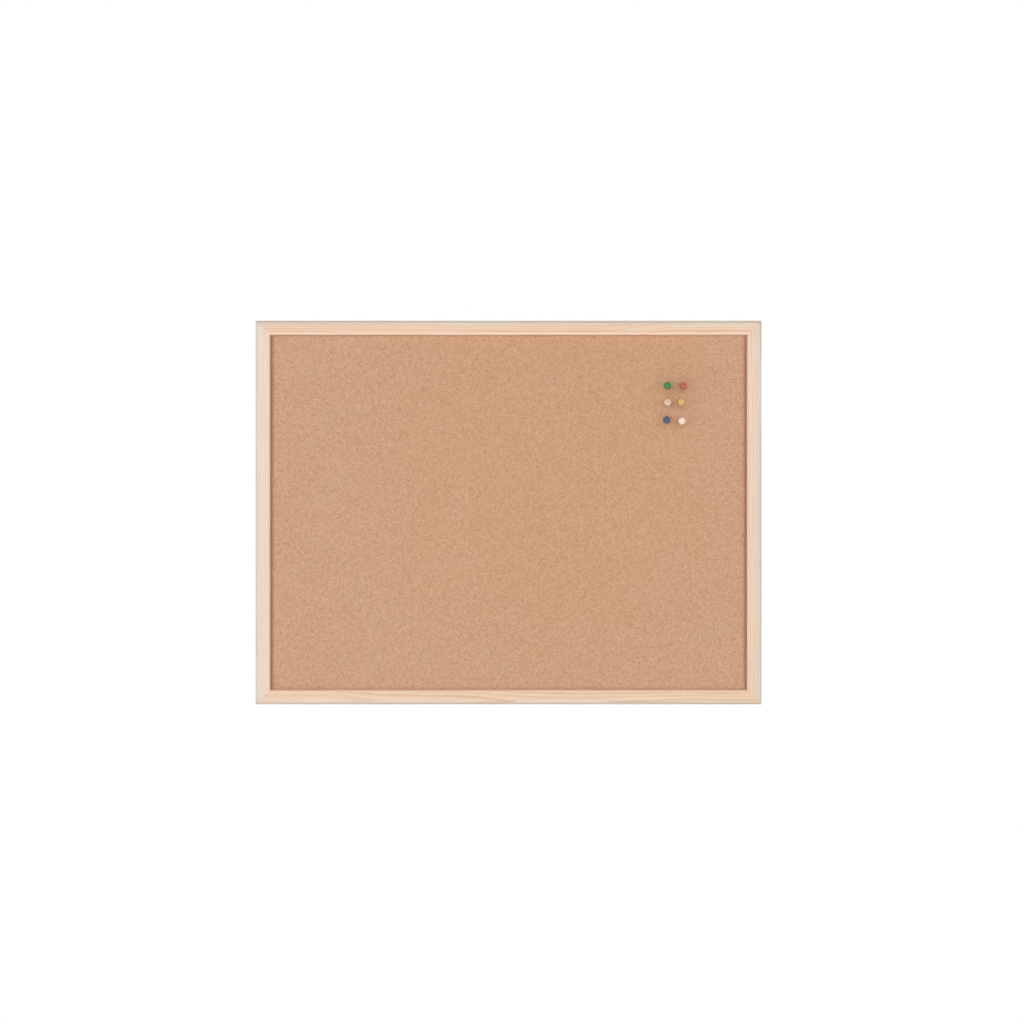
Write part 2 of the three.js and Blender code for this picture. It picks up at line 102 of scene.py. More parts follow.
def length_setting(name, description, default):
    return FloatProperty(
        name=name, description=description, default=default, min=0, unit="LENGTH", precision=5
    )


def share_setting(name, description, default):
    return FloatProperty(name=name, description=description, default=default, min=0, max=1, subtype="FACTOR")


def lamp_setting(name, default):
    return share_setting(name, "Its share of the light on the cork", default)


def colour_setting(name, description, *display):
    return FloatVectorProperty(
        name=name, description=description, default=linear(*display), size=3, min=0, max=1, subtype="COLOR"
    )


class StageSettings(bpy.types.PropertyGroup):
    camera_distance: length_setting("Camera distance", "From the lens to the frame's outline", 5.2)
    camera_side: length_setting("Camera side step", "How far right of the board's middle it stands", 0.0041)
    camera_rise: length_setting("Camera rise", "How far above the board's middle it stands", 0.0006)
    view_width: length_setting("View width", "Width of the picture at the frame's outline", 1.2145)
    left_level: lamp_setting("Left lamp", 0.28)
    right_level: lamp_setting("Right lamp", 0.265)
    front_level: lamp_setting("Front lamp", 0.23)
    low_level: lamp_setting("Low lamp", 0.065)
    fill_level: share_setting("Fill", "Share of the light from all round in front", 0.16)
    back_level: share_setting("Backdrop", "Strength of the pale backdrop's light", 0.7)
    floor_drop: length_setting("Floor drop", "Height of the hung board above the floor", 1.5)


class RailSettings(bpy.types.PropertyGroup):
    face_width: length_setting("Face width", "Width of the moulding's face", 0.0175)
    lip_thickness: length_setting("Lip thickness", "Thickness of the lip over the cork", 0.005)
    lip_overlap: length_setting("Lip overlap", "How far the lip covers the rabbet", 0.0049)
    outer_fillet: length_setting("Outer fillet", "Radius of the outer front edge", 0.005)
    bead_radius: length_setting("Bead radius", "Radius of the bead at the sight edge", 0.003)
    quirk_depth: length_setting("Quirk depth", "Depth of the groove beside the bead", 0.00055)
    quirk_width: length_setting("Quirk width", "Width of the groove's sloping side", 0.0012)
    back_arris: length_setting("Back arris", "Chamfer of the outer back edge", 0.0006)
    sanding: length_setting("Sanding", "Radius to which the sharp edges are sanded", 0.00025)
    joint_gap: length_setting("Joint gap", "Gap along the rail at each mitre", 0.00006)
    ring_spacing: length_setting("Ring spacing", "Distance between growth rings", 0.0022)
    early_wood: colour_setting("Early wood", "Pale part of each growth ring", 242, 209, 181)
    late_wood: colour_setting("Late wood", "Darker part of each growth ring", 216, 168, 128)
    sap_wood: colour_setting("Sapwood", "Paler wood from the outside of the log", 243, 225, 208)
    # Painted sheen: a paler, greyer colour laid along the rounded outer edge, where the white surroundings
    # would reflect
    rim_wood: colour_setting("Rim", "Greyer wood along the planed outer edge", 228, 222, 212)
    # Painted highlight: the palest colour, painted along the top of the top rail's bead where light would
    # catch it
    streak_wood: colour_setting("Streak", "Palest wood, in a streak along a bead", 254, 222, 196)
    steps: IntProperty(name="Steps", description="Stations along each rail", default=240, min=20)


class CorkSettings(bpy.types.PropertyGroup):
    granule: length_setting("Granule", "Size of the cork granules", 0.0016)
    relief: length_setting("Relief", "Height of the pressed surface's unevenness", 0.00006)
    cell: length_setting("Cell", "Size of the mesh's cells", 0.00166)
    # Painted shade: a share of darkening painted on the cork beside the side rails, where their lips would
    # shadow it
    dust: share_setting("Dust", "How much dust has settled beside the side rails", 0.6)
    pale: colour_setting("Pale granules", "Lightest granules", 221, 175, 139)
    middle: colour_setting("Middle granules", "Most of the granules", 206, 158, 122)
    dark: colour_setting("Dark granules", "Bark-coloured granules", 164, 116, 84)


class CoreSettings(bpy.types.PropertyGroup):
    relief: length_setting("Relief", "Height of the pressed back's unevenness", 0.00008)
    cell: length_setting("Cell", "Size of the mesh's cells", 0.0024)
    pale: colour_setting("Pale fibres", "Lightest fibres", 206, 181, 146)
    dark: colour_setting("Dark fibres", "Darkest fibres", 152, 125, 93)


class FixingSettings(bpy.types.PropertyGroup):
    nail_thickness: length_setting("Nail thickness", "Thickness of the corner nails' strip", 0.0005)
    slit: length_setting("Slit", "Space that the wood leaves round driven steel", 0.00012)
    steel: colour_setting("Steel", "Colour of the plated strip", 178, 180, 184)


class HangerSettings(bpy.types.PropertyGroup):
    strap_width: length_setting("Strap width", "Width of the hanger's strap", 0.008)
    strap_sheet: length_setting("Strap sheet", "Thickness of the strap's sheet", 0.0007)
    wire: length_setting("Wire", "Diameter of the ring's wire", 0.0016)
    ring_bend: length_setting("Ring bend", "Radius of the ring's two tight bends", 0.0014)
    ring_shoulder: length_setting("Ring shoulder", "Height of the ring's straight sides", 0.004)
    butt_gap: length_setting("Butt gap", "Gap between the wire's two ends", 0.0004)
    clearance: length_setting("Clearance", "Play of the wire in the strap's eye", 0.0003)
    screw_drop: length_setting("Screw drop", "From the hinge line down to the screw", 0.0145)
    head_diameter: length_setting("Head diameter", "Diameter of the screw's head", 0.0056)
    head_height: length_setting("Head height", "Height of the screw's head", 0.002)
    shank_diameter: length_setting("Shank diameter", "Diameter over the screw's thread", 0.0029)
    screw_length: length_setting("Screw length", "From under the head to the tip", 0.011)
    zinc: colour_setting("Zinc", "Colour of the plating", 196, 199, 204)


class PinSettings(bpy.types.PropertyGroup):
    flange_diameter: length_setting("Flange diameter", "Diameter of the flange on the cork", 0.0086)
    flange_thickness: length_setting("Flange thickness", "Thickness of the flange", 0.0012)
    waist_diameter: length_setting("Waist diameter", "Diameter of the waist", 0.0046)
    grip_diameter: length_setting("Grip diameter", "Diameter of the grip", 0.008)
    grip_height: length_setting("Grip height", "Height of the grip", 0.0046)
    grip_edge: length_setting("Grip edge", "Radius of the grip's edges", 0.001)
    sweep_rise: length_setting("Sweep rise", "Height of the sweep from flange to waist", 0.0024)
    flare_rise: length_setting("Flare rise", "Height of the flare from waist to grip", 0.0022)
    needle_diameter: length_setting("Needle diameter", "Diameter of the steel needle", 0.0011)
    needle: colour_setting("Needle", "Colour of the needles' steel", 205, 206, 208)
    green: colour_setting("Green", "Colour of the green head", 46, 126, 64)
    red: colour_setting("Red", "Colour of the red head", 185, 90, 73)
    clear: colour_setting("Clear", "Tint of the clear head", 252, 218, 192)
    yellow: colour_setting("Yellow", "Colour of the yellow head", 218, 176, 98)
    blue: colour_setting("Blue", "Colour of the blue head", 60, 84, 116)
    white: colour_setting("White", "Colour of the white head", 247, 223, 202)
    transmission: share_setting("Transmission", "How much light the clear head lets through", 0.35)
    sides: IntProperty(name="Sides", description="Facets round each head", default=96, min=12)


# Meshes


def skinned(rings):
    """Vertices and faces of a closed solid through loops of equal length."""
    rings = np.asarray(rings, float)
    count, sides = rings.shape[:2]
    here = np.arange(count * sides).reshape(count, sides)
    after = np.roll(here, -1, 1)
    walls = np.stack([here[:-1], after[:-1], after[1:], here[1:]], -1).reshape(-1, 4)
    return rings.reshape(-1, 3), [here[0].tolist(), *walls.tolist(), here[-1].tolist()]


def new_object(name, shape):
    vertices, faces = shape
    mesh = bpy.data.meshes.new(name)
    mesh.from_pydata([tuple(v) for v in vertices], [], faces)
    work = bmesh.new()
    work.from_mesh(mesh)
    bmesh.ops.recalc_face_normals(work, faces=work.faces)
    work.to_mesh(mesh)
    work.free()
    made = bpy.data.objects.new(name, mesh)
    bpy.context.scene.collection.objects.link(made)
    return made


def settle(made):
    """Turns the object's modifiers into its mesh."""
    graph = bpy.context.evaluated_depsgraph_get()
    mesh = bpy.data.meshes.new_from_object(made.evaluated_get(graph))
    worn = made.data
    made.modifiers.clear()
    made.data = mesh
    bpy.data.meshes.remove(worn)


def carve(made, shapes):
    """Cuts closed shapes out of the object."""
    tools = [new_object(f"{made.name}_cutter_{i}", shape) for i, shape in enumerate(shapes)]
    for tool in tools:
        cut = made.modifiers.new("cut", "BOOLEAN")
        cut.operation = "DIFFERENCE"
        cut.solver = "MANIFOLD"
        cut.object = tool
    settle(made)
    for tool in tools:
        mesh = tool.data
        bpy.data.objects.remove(tool)
        bpy.data.meshes.remove(mesh)


def soften(made, width, segments=2):
    """Rounds the object's sharp edges."""
    edge = made.modifiers.new("edge", "BEVEL")
    edge.width = width
    edge.segments = segments
    edge.limit_method = "ANGLE"
    edge.angle_limit = SHADE_ANGLE
    settle(made)


def finish_piece(made, material, body, node, angle=SHADE_ANGLE):
    """Shades the piece, gives it its finish and sets it in its node's place."""
    if not made.data.polygons:
        raise RuntimeError(f"{made.name} has no faces")
    made.data.materials.clear()
    made.data.materials.append(material)
    made.data.shade_smooth()
    made.data.set_sharp_from_angle(angle=angle)
    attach(made, body)
    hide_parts(node)


def arc(centre, radius, from_deg, to_deg, steps):
    """Points of an arc; radius may differ along the two axes."""
    across, up = radius if isinstance(radius, tuple) else (radius, radius)
    turns = np.radians(np.linspace(from_deg, to_deg, steps + 1))
    return [(centre[0] + across * math.cos(t), centre[1] + up * math.sin(t)) for t in turns]


def softened(outline, radius, steps=3, least_turn=math.radians(20), most_share=0.45):
    """A closed outline with its sharp corners rounded, each over at most a share of its sides."""
    points = [Vector(p) for p in outline]
    made = []
    for i, corner in enumerate(points):
        back = points[i - 1] - corner
        ahead = points[(i + 1) % len(points)] - corner
        turn = math.pi - back.angle(ahead)
        if turn < least_turn:
            made.append(corner)
            continue
        reach = min(radius * math.tan(turn / 2), most_share * back.length, most_share * ahead.length)
        start = corner + back.normalized() * reach
        end = corner + ahead.normalized() * reach
        for step in range(steps + 1):
            t = step / steps
            made.append(start * (1 - t) ** 2 + corner * (2 * t * (1 - t)) + end * t**2)
    return [tuple(p) for p in made]


def spaced(outline, longest):
    """A closed outline whose long sides are divided."""
    made = []
    for i, start in enumerate(outline):
        end = outline[(i + 1) % len(outline)]
        parts = max(1, math.ceil(math.dist(start, end) / longest))
        for part in range(parts):
            t = part / parts
            made.append(tuple(a + (b - a) * t for a, b in zip(start, end)))
    return made


def unit(vectors):
    """Rows of vectors, each with length one."""
    return vectors / np.linalg.norm(vectors, axis=1)[:, None]


def inset(outline, distance, least_lean=0.5):
    """A closed outline moved inwards; its points run either way round."""
    points = np.asarray(outline, float)
    before = unit(points - np.roll(points, 1, 0))
    after = unit(np.roll(points, -1, 0) - points)
    area = np.sum(points[:, 0] * np.roll(points[:, 1], -1) - np.roll(points[:, 0], -1) * points[:, 1])
    left = unit(np.stack([-before[:, 1] - after[:, 1], before[:, 0] + after[:, 0]], 1))
    lean = np.maximum(least_lean, left[:, 0] * -after[:, 1] + left[:, 1] * after[:, 0])
    return points + left * (math.copysign(distance, area) / lean)[:, None]


# A plate's rounded rim: share of its depth, and share of its width that the outline is set in there
RIM_SHARES = ((0, 1), (0.4, 0.3), (1, 0))


def plate(outline, low, high, edge):
    """Rings of a flat plate with rounded rims, from an outline in X and Z between two depths."""
    levels = [(low + edge * depth, edge * width) for depth, width in RIM_SHARES]
    levels += [(high - edge * depth, edge * width) for depth, width in reversed(RIM_SHARES)]
    return [[(x, y, z) for x, z in inset(outline, shrink)] for y, shrink in levels]


def turns_round(sides):
    return np.linspace(0, 2 * math.pi, sides, endpoint=False)


def round_ring(radius, turns, height):
    """Points round the height axis; radius is one length or one for each turn."""
    return np.stack([radius * np.cos(turns), radius * np.sin(turns), np.full(len(turns), height)], 1)


def turned(profile, sides, seam=0.0):
    """Rings of a profile of (radius, height) turned about the height axis, with two mould seams."""
    turns = turns_round(sides)
    swell = np.where(np.isclose(np.sin(turns), 0, atol=1e-6), seam, 0)
    least_radius = 10 * seam
    rings = []
    for radius, height in profile:
        wide = radius + (swell if radius > least_radius > 0 else 0)
        rings.append(round_ring(wide, turns, height))
    return np.array(rings)


def stood(rings, place, towards=1):
    """Stands turned rings on a place, their height towards the viewer, or away with towards=-1."""
    rings = np.asarray(rings, float)
    return np.stack([rings[..., 0], -towards * rings[..., 2], towards * rings[..., 1]], -1) + np.array(place)


def peg(radius, low_y, high_y, x, z, sides=24):
    """A round cutter along Y."""
    profile = [(radius, -high_y), (radius, -low_y)]
    return skinned(stood(turned(profile, sides), (x, 0, z)))


def blurred(field, times):
    for _ in range(times):
        rows = (np.roll(field, 1, 0) + field + np.roll(field, -1, 0)) / 3
        field = (np.roll(rows, 1, 1) + rows + np.roll(rows, -1, 1)) / 3
    return field / np.abs(field).max()


def slab(low, high, cell, relief_of, height, out):
    """A board with an uneven face towards the front, out=-1, or the back, out=1, flat elsewhere."""
    columns = round((high.x - low.x) / cell)
    rows = round((high.z - low.z) / cell)
    grid_x, grid_z = np.meshgrid(
        np.linspace(low.x, high.x, columns + 1), np.linspace(low.z, high.z, rows + 1), indexing="ij"
    )
    relief = height * relief_of(columns + 1, rows + 1)
    relief[[0, -1]] = 0
    relief[:, [0, -1]] = 0
    face_y, flat_y = (low.y, high.y) if out < 0 else (high.y, low.y)
    face = np.stack([grid_x, face_y + out * relief, grid_z], -1).reshape(-1, 3)
    grid = np.arange(len(face)).reshape(columns + 1, rows + 1)
    faces = np.stack([grid[:-1, :-1], grid[1:, :-1], grid[1:, 1:], grid[:-1, 1:]], -1).reshape(-1, 4).tolist()

    # The loop of the face's edge and its copy on the flat side: lower edge, right, upper and left
    loop = np.concatenate([grid[:-1, 0], grid[-1, :-1], grid[:0:-1, -1], grid[0, :0:-1]])
    flat = face[loop].copy()
    flat[:, 1] = flat_y
    copy = len(face) + np.arange(len(loop))
    faces += np.stack([loop, copy, np.roll(copy, -1), np.roll(loop, -1)], -1).tolist()

    # The flat side: one strip for each column, and one face for each end
    right_end = columns + rows
    left_start = right_end + columns
    lower = copy[: columns + 1]
    right = copy[columns : right_end + 1]
    upper = copy[right_end : left_start + 1][::-1]
    left = np.append(copy[left_start:], copy[0])
    faces += np.stack([lower[1:-2], lower[2:-1], upper[2:-1], upper[1:-2]], -1).tolist()
    faces.append([*left.tolist(), int(lower[1]), int(upper[1])])
    faces.append([*right.tolist(), int(upper[-2]), int(lower[-2])])
    return np.concatenate([face, flat]), faces


# Node trees


class Nodes:
    """Empties a node tree, adds nodes to it and links or sets what feeds them."""

    def __init__(self, tree):
        self.tree = tree
        tree.nodes.clear()

    def feed(self, socket, value):
        if isinstance(value, bpy.types.NodeSocket):
            self.tree.links.new(value, socket)
        elif socket.type == "RGBA" and len(value) == 3:
            socket.default_value = (*value, 1)
        else:
            socket.default_value = value

    def add(self, kind, feeds=(), **settings):
        node = self.tree.nodes.new(kind)
        for key, value in settings.items():
            setattr(node, key, value)
        for key, value in dict(feeds).items():
            self.feed(node.inputs[key], value)
        return node

    def show(self, shader, kind="ShaderNodeOutputMaterial"):
        self.add(kind, {"Surface": shader.outputs[0]})

    def math(self, operation, *values, clamp=False):
        node = self.add("ShaderNodeMath", enumerate(values), operation=operation, use_clamp=clamp)
        return node.outputs[0]

    def plus(self, a, b):
        return self.math("ADD", a, b)

    def less(self, a, b):
        return self.math("SUBTRACT", a, b)

    def times(self, a, b):
        return self.math("MULTIPLY", a, b)

    def scaled(self, value, factor, base, clamp=False):
        """The value times the factor, plus the base."""
        return self.math("MULTIPLY_ADD", value, factor, base, clamp=clamp)

    def vector(self, operation, *values):
        node = self.add("ShaderNodeVectorMath", enumerate(values), operation=operation)
        return node.outputs[0]

    def noise(self, vector, scale=1.0, detail=2.0, roughness=0.5, output="Fac"):
        feeds = {"Vector": vector, "Scale": scale, "Detail": detail, "Roughness": roughness}
        return self.add("ShaderNodeTexNoise", feeds).outputs[output]

    def cells(self, vector, scale, feature="F1"):
        return self.add("ShaderNodeTexVoronoi", {"Vector": vector, "Scale": scale}, feature=feature)

    def fade(self, value, low, high, to_low=0.0, to_high=1.0):
        """A smooth change from to_low to to_high while the value goes from low to high."""
        feeds = {0: value, 1: low, 2: high, 3: to_low, 4: to_high}
        return self.add("ShaderNodeMapRange", feeds, interpolation_type="SMOOTHSTEP").outputs[0]

    def fall(self, value, low, high):
        """One up to low, and nothing from high on."""
        return self.fade(value, low, high, 1.0, 0.0)

    def streaks(self, vector, scales, detail, roughness):
        """Noise with a scale of its own along each axis."""
        return self.noise(self.vector("MULTIPLY", vector, scales), 1.0, detail, roughness)

    def mixed(self, factor, a, b):
        return self.add("ShaderNodeMix", {0: factor, 6: a, 7: b}, data_type="RGBA").outputs[2]

    def parts(self, vector):
        return self.add("ShaderNodeSeparateXYZ", {0: vector}).outputs

    def joined(self, x, y, z):
        return self.add("ShaderNodeCombineXYZ", {0: x, 1: y, 2: z}).outputs[0]


SOCKETS = {Color: "NodeSocketColor", Vector: "NodeSocketVector"}
FINISH_OUTPUTS = {"Color": "NodeSocketColor", "Roughness": "NodeSocketFloat", "Height": "NodeSocketFloat"}


def effect_group(effect, usual):
    """A shared effect: a node group that puts out a varying colour, roughness and height.

    It is named after the function that fills it, and its inputs start with their usual values."""
    name = effect.__name__.replace("_", " ").title()
    if name in bpy.data.node_groups:
        return bpy.data.node_groups[name]
    tree = bpy.data.node_groups.new(name, "ShaderNodeTree")
    tree.interface.new_socket("Vector", in_out="INPUT", socket_type="NodeSocketVector")
    for label, value in usual.items():
        kind = SOCKETS.get(type(value), "NodeSocketFloat")
        socket = tree.interface.new_socket(label, in_out="INPUT", socket_type=kind)
        socket.default_value = (*value, 1) if isinstance(value, Color) else value
    for label, kind in FINISH_OUTPUTS.items():
        tree.interface.new_socket(label, in_out="OUTPUT", socket_type=kind)
    nodes = Nodes(tree)
    given = nodes.add("NodeGroupInput").outputs
    nodes.add("NodeGroupOutput", zip(FINISH_OUTPUTS, effect(nodes, given)))
    return tree


def pine_grain(nodes, given):
    """Growth rings about a wandering pith, with fibres and resin streaks along X."""
    x, y, z = nodes.parts(given["Vector"])
    along = nodes.plus(x, given["Seed"])

    def stretched(lengthwise, across):
        return nodes.joined(nodes.times(along, lengthwise), nodes.times(y, across), nodes.times(z, across))

    # The distance from the pith, which wanders along the rail and bends aside in one place
    drift_y, drift_z, tone = nodes.parts(nodes.noise(stretched(3.2, 9), 1.0, 2.0, 0.45, "Color"))
    deep = nodes.scaled(nodes.less(drift_y, 0.5), given["Wander"], y)
    deep = nodes.plus(deep, given["Pith Depth"])
    side = nodes.scaled(nodes.less(drift_z, 0.5), given["Wander"], z)
    side = nodes.plus(side, nodes.scaled(x, given["Pith Slope"], given["Pith Side"]))
    bend = nodes.fade(nodes.less(x, given["Bend Place"]), -0.045, 0.045)
    side = nodes.scaled(bend, given["Bend Shift"], side)
    radius = nodes.math("SQRT", nodes.plus(nodes.times(deep, deep), nodes.times(side, side)))

    # Each year's ring darkens slowly and ends sharply, and some years are fainter
    fibre = nodes.noise(stretched(14, 900), 1.0, 3.0, 0.6)
    phase = nodes.scaled(fibre, 0.16, nodes.math("DIVIDE", radius, given["Ring Spacing"]))
    place = nodes.math("FRACT", phase)
    ring = nodes.times(nodes.fade(place, 0.25, 0.92), nodes.fall(place, 0.93, 1.0))
    year = nodes.add("ShaderNodeTexWhiteNoise", {"W": nodes.math("FLOOR", phase)}, noise_dimensions="1D")
    ring = nodes.times(ring, nodes.fade(year.outputs[0], 0.0, 1.0, 0.45, 1.0))
    resin = nodes.fade(nodes.noise(stretched(30, 1500), 1.0, 1.0, 0.5), 0.66, 0.78)

    share = nodes.scaled(nodes.less(fibre, 0.5), 0.7, nodes.times(ring, given["Contrast"]))
    share = nodes.scaled(resin, 0.18, share)
    share = nodes.scaled(nodes.less(tone, 0.45), 0.5, share, clamp=True)
    sap = nodes.scaled(nodes.less(tone, 0.5), 0.6, given["Sap Share"], clamp=True)
    early = nodes.mixed(sap, given["Early Wood"], given["Sapwood"])

    # Across the face from its outer side, 0, to its sight edge, 1: a pale grey sheen painted along the outer
    # rounded edge, where the white surroundings would reflect
    inner = nodes.scaled(z, given["Inward"], 0.5)
    rim = nodes.times(nodes.fall(inner, 0.0, 0.6), given["Rim Share"])
    early = nodes.mixed(rim, early, given["Rim Wood"])
    colour = nodes.mixed(share, early, given["Late Wood"])
    # A painted highlight along the top of the bead, used on the top rail
    bead_highlight = nodes.times(nodes.fade(inner, 0.79, 0.85), nodes.fall(inner, 0.90, 0.96))
    colour = nodes.mixed(nodes.times(bead_highlight, given["Streak Share"]), colour, given["Streak Wood"])

    roughness = nodes.scaled(fibre, 0.22, 0.36)
    height = nodes.scaled(resin, -0.5, nodes.scaled(ring, 0.35, fibre))
    return colour, roughness, height


def cork_granules(nodes, given):
    """Pressed granules in two sizes with bark specks and binder lines between them."""
    vector = given["Vector"]
    fine = nodes.math("DIVIDE", 1.0, given["Granule"])
    bend = nodes.noise(vector, nodes.times(fine, 0.9), 2.0, 0.6, "Color")
    bend = nodes.vector("SUBTRACT", bend, (0.5, 0.5, 0.5))
    shift = nodes.add("ShaderNodeVectorMath", {0: bend, "Scale": given["Granule"]}, operation="SCALE")
    warped = nodes.vector("ADD", vector, shift.outputs[0])
    large = nodes.cells(warped, fine)
    small = nodes.cells(warped, nodes.times(fine, 2.1))
    seam = nodes.cells(warped, fine, "DISTANCE_TO_EDGE")
    tint = nodes.parts(large.outputs["Color"])[0]
    tint_small = nodes.parts(small.outputs["Color"])[1]
    shade = nodes.scaled(tint_small, 0.45, nodes.times(tint, 0.55))
    pale = nodes.mixed(nodes.fade(shade, 0.35, 0.85), given["Middle"], given["Pale"])
    speck = nodes.math("MAXIMUM", nodes.fade(tint, 0.03, 0.01), nodes.fade(tint_small, 0.05, 0.02))
    low = nodes.math("MAXIMUM", nodes.fade(shade, 0.34, 0.12, 0.0, 0.34), nodes.times(speck, 0.42))
    binder = nodes.fade(seam.outputs["Distance"], 0.0, 0.09, 0.22, 0.0)
    low = nodes.math("MAXIMUM", low, binder)
    colour = nodes.mixed(low, pale, given["Dark"])
    broad = nodes.noise(vector, 5.0, 3.0, 0.55)
    colour = nodes.mixed(nodes.fade(broad, 0.3, 0.7, 0.0, 0.06), colour, given["Pale"])

    # A rosier tone away from the middle point, in patches
    patches = nodes.noise(vector, 26.0, 2.0, 0.5)
    away = nodes.vector("SUBTRACT", vector, given["Middle Point"])
    away = nodes.vector("MULTIPLY", away, given["Blush Reach"])
    away = nodes.add("ShaderNodeVectorMath", {0: away}, operation="LENGTH").outputs["Value"]
    blush = nodes.scaled(nodes.less(patches, 0.5), 1.6, nodes.fade(away, 0.3, 1.0), clamp=True)
    colour = nodes.mixed(blush, colour, nodes.vector("MULTIPLY", colour, (0.99, 1.03, 1.15)))

    # Painted shade beside the side rails, where their lips would shadow the cork, fading out from 0.4 mm to
    # 5.6 mm inside the opening
    apart = nodes.parts(nodes.vector("SUBTRACT", vector, given["Opening Point"]))[0]
    inside = nodes.less(given["Opening Reach"], nodes.math("ABSOLUTE", apart))
    dust = nodes.times(nodes.fall(inside, 0.0004, 0.0056), given["Dust"])
    colour = nodes.mixed(dust, colour, nodes.vector("MULTIPLY", given["Dark"], (0.8, 0.8, 0.85)))

    height = nodes.scaled(small.outputs["Distance"], -0.4, nodes.less(1.0, large.outputs["Distance"]))
    height = nodes.scaled(low, -0.8, height)
    roughness = nodes.scaled(tint, 0.14, 0.8)
    return colour, roughness, height


def pressed_fibre(nodes, given):
    """Matted wood fibres with the fine weave that the press screen leaves."""
    vector = given["Vector"]
    x, _, z = nodes.parts(vector)
    waves = nodes.noise(vector, 90.0, 2.0, 0.5, "Color")
    wavy = nodes.vector("ADD", vector, nodes.vector("MULTIPLY", waves, (0.006, 0.006, 0.006)))
    level = nodes.streaks(wavy, (240, 900, 1500), 3.0, 0.6)
    upright = nodes.streaks(wavy, (1500, 900, 240), 3.0, 0.6)
    mat = nodes.math("MAXIMUM", level, upright)
    flecks = nodes.cells(wavy, 620.0)
    chip = nodes.fade(nodes.parts(flecks.outputs["Color"])[0], 0.93, 0.99)
    broad = nodes.noise(vector, 9.0, 3.0, 0.5)
    share = nodes.less(nodes.scaled(mat, 1.5, -0.4), 0.25)
    share = nodes.scaled(broad, 0.5, share, clamp=True)
    colour = nodes.mixed(share, given["Dark"], given["Pale"])
    colour = nodes.mixed(nodes.times(chip, 0.35), colour, given["Dark"])
    weave = nodes.times(*[nodes.math("SINE", nodes.times(place, given["Weave"])) for place in (x, z)])
    height = nodes.scaled(weave, 0.3, mat)
    roughness = nodes.scaled(mat, 0.12, 0.8)
    return colour, roughness, height


def plated_steel(nodes, given):
    """Zinc plating: faint spangle, drawing lines along Z, dull spots and hairline scratches."""
    vector = given["Vector"]
    spangle = nodes.cells(vector, nodes.math("DIVIDE", 1.0, given["Spangle"]))
    facet = nodes.parts(spangle.outputs["Color"])[0]
    lines = nodes.streaks(vector, (6000, 6000, 300), 2.0, 0.5)
    hairs = nodes.streaks(vector, (1200, 1200, 9000), 1.0, 0.5)
    dull = nodes.noise(vector, 420.0, 3.0, 0.6)
    share = nodes.scaled(facet, 0.35, nodes.times(dull, 0.6), clamp=True)
    colour = nodes.mixed(share, given["Metal"], given["Tarnish"])
    roughness = nodes.scaled(facet, 0.06, nodes.scaled(dull, 0.22, given["Gloss"]))
    height = nodes.scaled(nodes.fade(hairs, 0.68, 0.75), -0.8, lines)
    return colour, roughness, height


def moulded_plastic(nodes, given):
    """Glossy moulded plastic with faint flow streaks and handling marks."""
    vector = given["Vector"]
    flow = nodes.streaks(vector, (260, 60, 260), 2.0, 0.5)
    marks = nodes.noise(vector, 900.0, 3.0, 0.65)
    colour = nodes.mixed(nodes.fade(flow, 0.3, 0.75, 0.0, 0.35), given["Plastic"], given["Flow"])
    roughness = nodes.fade(marks, 0.35, 0.8, 0.14, 0.34)
    height = nodes.scaled(marks, 0.4, flow)
    return colour, roughness, height


# Materials


def new_material(name):
    """An empty material and its nodes."""
    material = bpy.data.materials.new(name)
    material.use_nodes = True
    return material, Nodes(material.node_tree)


def finished(name, effect, values, strength, distance, shader, mapping=None):
    """A material that takes its colour, roughness and height from a shared effect.

    The height drives a bump of the given strength and distance, and shader holds plain values."""
    material, nodes = new_material(name)
    vector = nodes.add("ShaderNodeTexCoord").outputs["Object"]
    if mapping:
        vector = nodes.add("ShaderNodeMapping", {"Vector": vector, **mapping}).outputs[0]
    group = nodes.add("ShaderNodeGroup", node_tree=effect_group(effect, values))
    for label, value in {"Vector": vector, **values}.items():
        nodes.feed(group.inputs[label], value)
    made = group.outputs
    feeds = {"Strength": strength, "Distance": distance, "Height": made["Height"]}
    relief = nodes.add("ShaderNodeBump", feeds).outputs[0]
    feeds = {"Base Color": made["Color"], "Roughness": made["Roughness"], "Normal": relief}
    nodes.show(nodes.add("ShaderNodeBsdfPrincipled", {**feeds, **shader}))
    return material


TARNISH_SHARES = (0.78, 0.76, 0.7)
FLOW_GAIN = 1.18
FLOW_LIFT = 0.01

# Radians of the press screen's weave to a metre
SCREEN_WEAVE = 3000.0

# The middle of the cork's tan part, from the board's middle, and how fast it ends across and up
TAN_MIDDLE = (0.06, 0.085)
TAN_SHARES = (2, 1.2)

# How each rail was sawn from its log: place of the pith, how much the rings wander, share of sapwood; and the
# shares of the painted sheen along the outer edge and the painted highlight along the bead
PLAIN_CUT = {"Rim Share": 0.9, "Streak Share": 0.0, "Bend Place": 0.0, "Bend Shift": 0.0}
RAIL_CUTS = {
    "bottom": {
        "Seed": 1.7, "Pith Depth": 0.046, "Pith Side": 0.012, "Pith Slope": 0.02, "Wander": 0.011,
        "Contrast": 0.55, "Sap Share": 0.1, "Rim Share": 0.5,
    },
    "right": {
        "Seed": 4.1, "Pith Depth": 0.030, "Pith Side": 0.034, "Pith Slope": -0.01, "Wander": 0.012,
        "Contrast": 0.7, "Sap Share": 0.5,
    },
    "top": {
        "Seed": 9.3, "Pith Depth": 0.036, "Pith Side": 0.026, "Pith Slope": 0.006, "Wander": 0.008,
        "Contrast": 0.75, "Sap Share": 0.22, "Bend Place": 0.15, "Bend Shift": -0.01, "Streak Share": 0.85,
    },
    "left": {
        "Seed": 6.2, "Pith Depth": 0.026, "Pith Side": 0.038, "Pith Slope": 0.015, "Wander": 0.012,
        "Contrast": 0.35, "Sap Share": 0.8,
    },
}


def rail_reach(side):
    """From the board's middle to the rail's outer side."""
    return (BOARD_HEIGHT if side in LEVEL_SIDES else BOARD_WIDTH) / 2


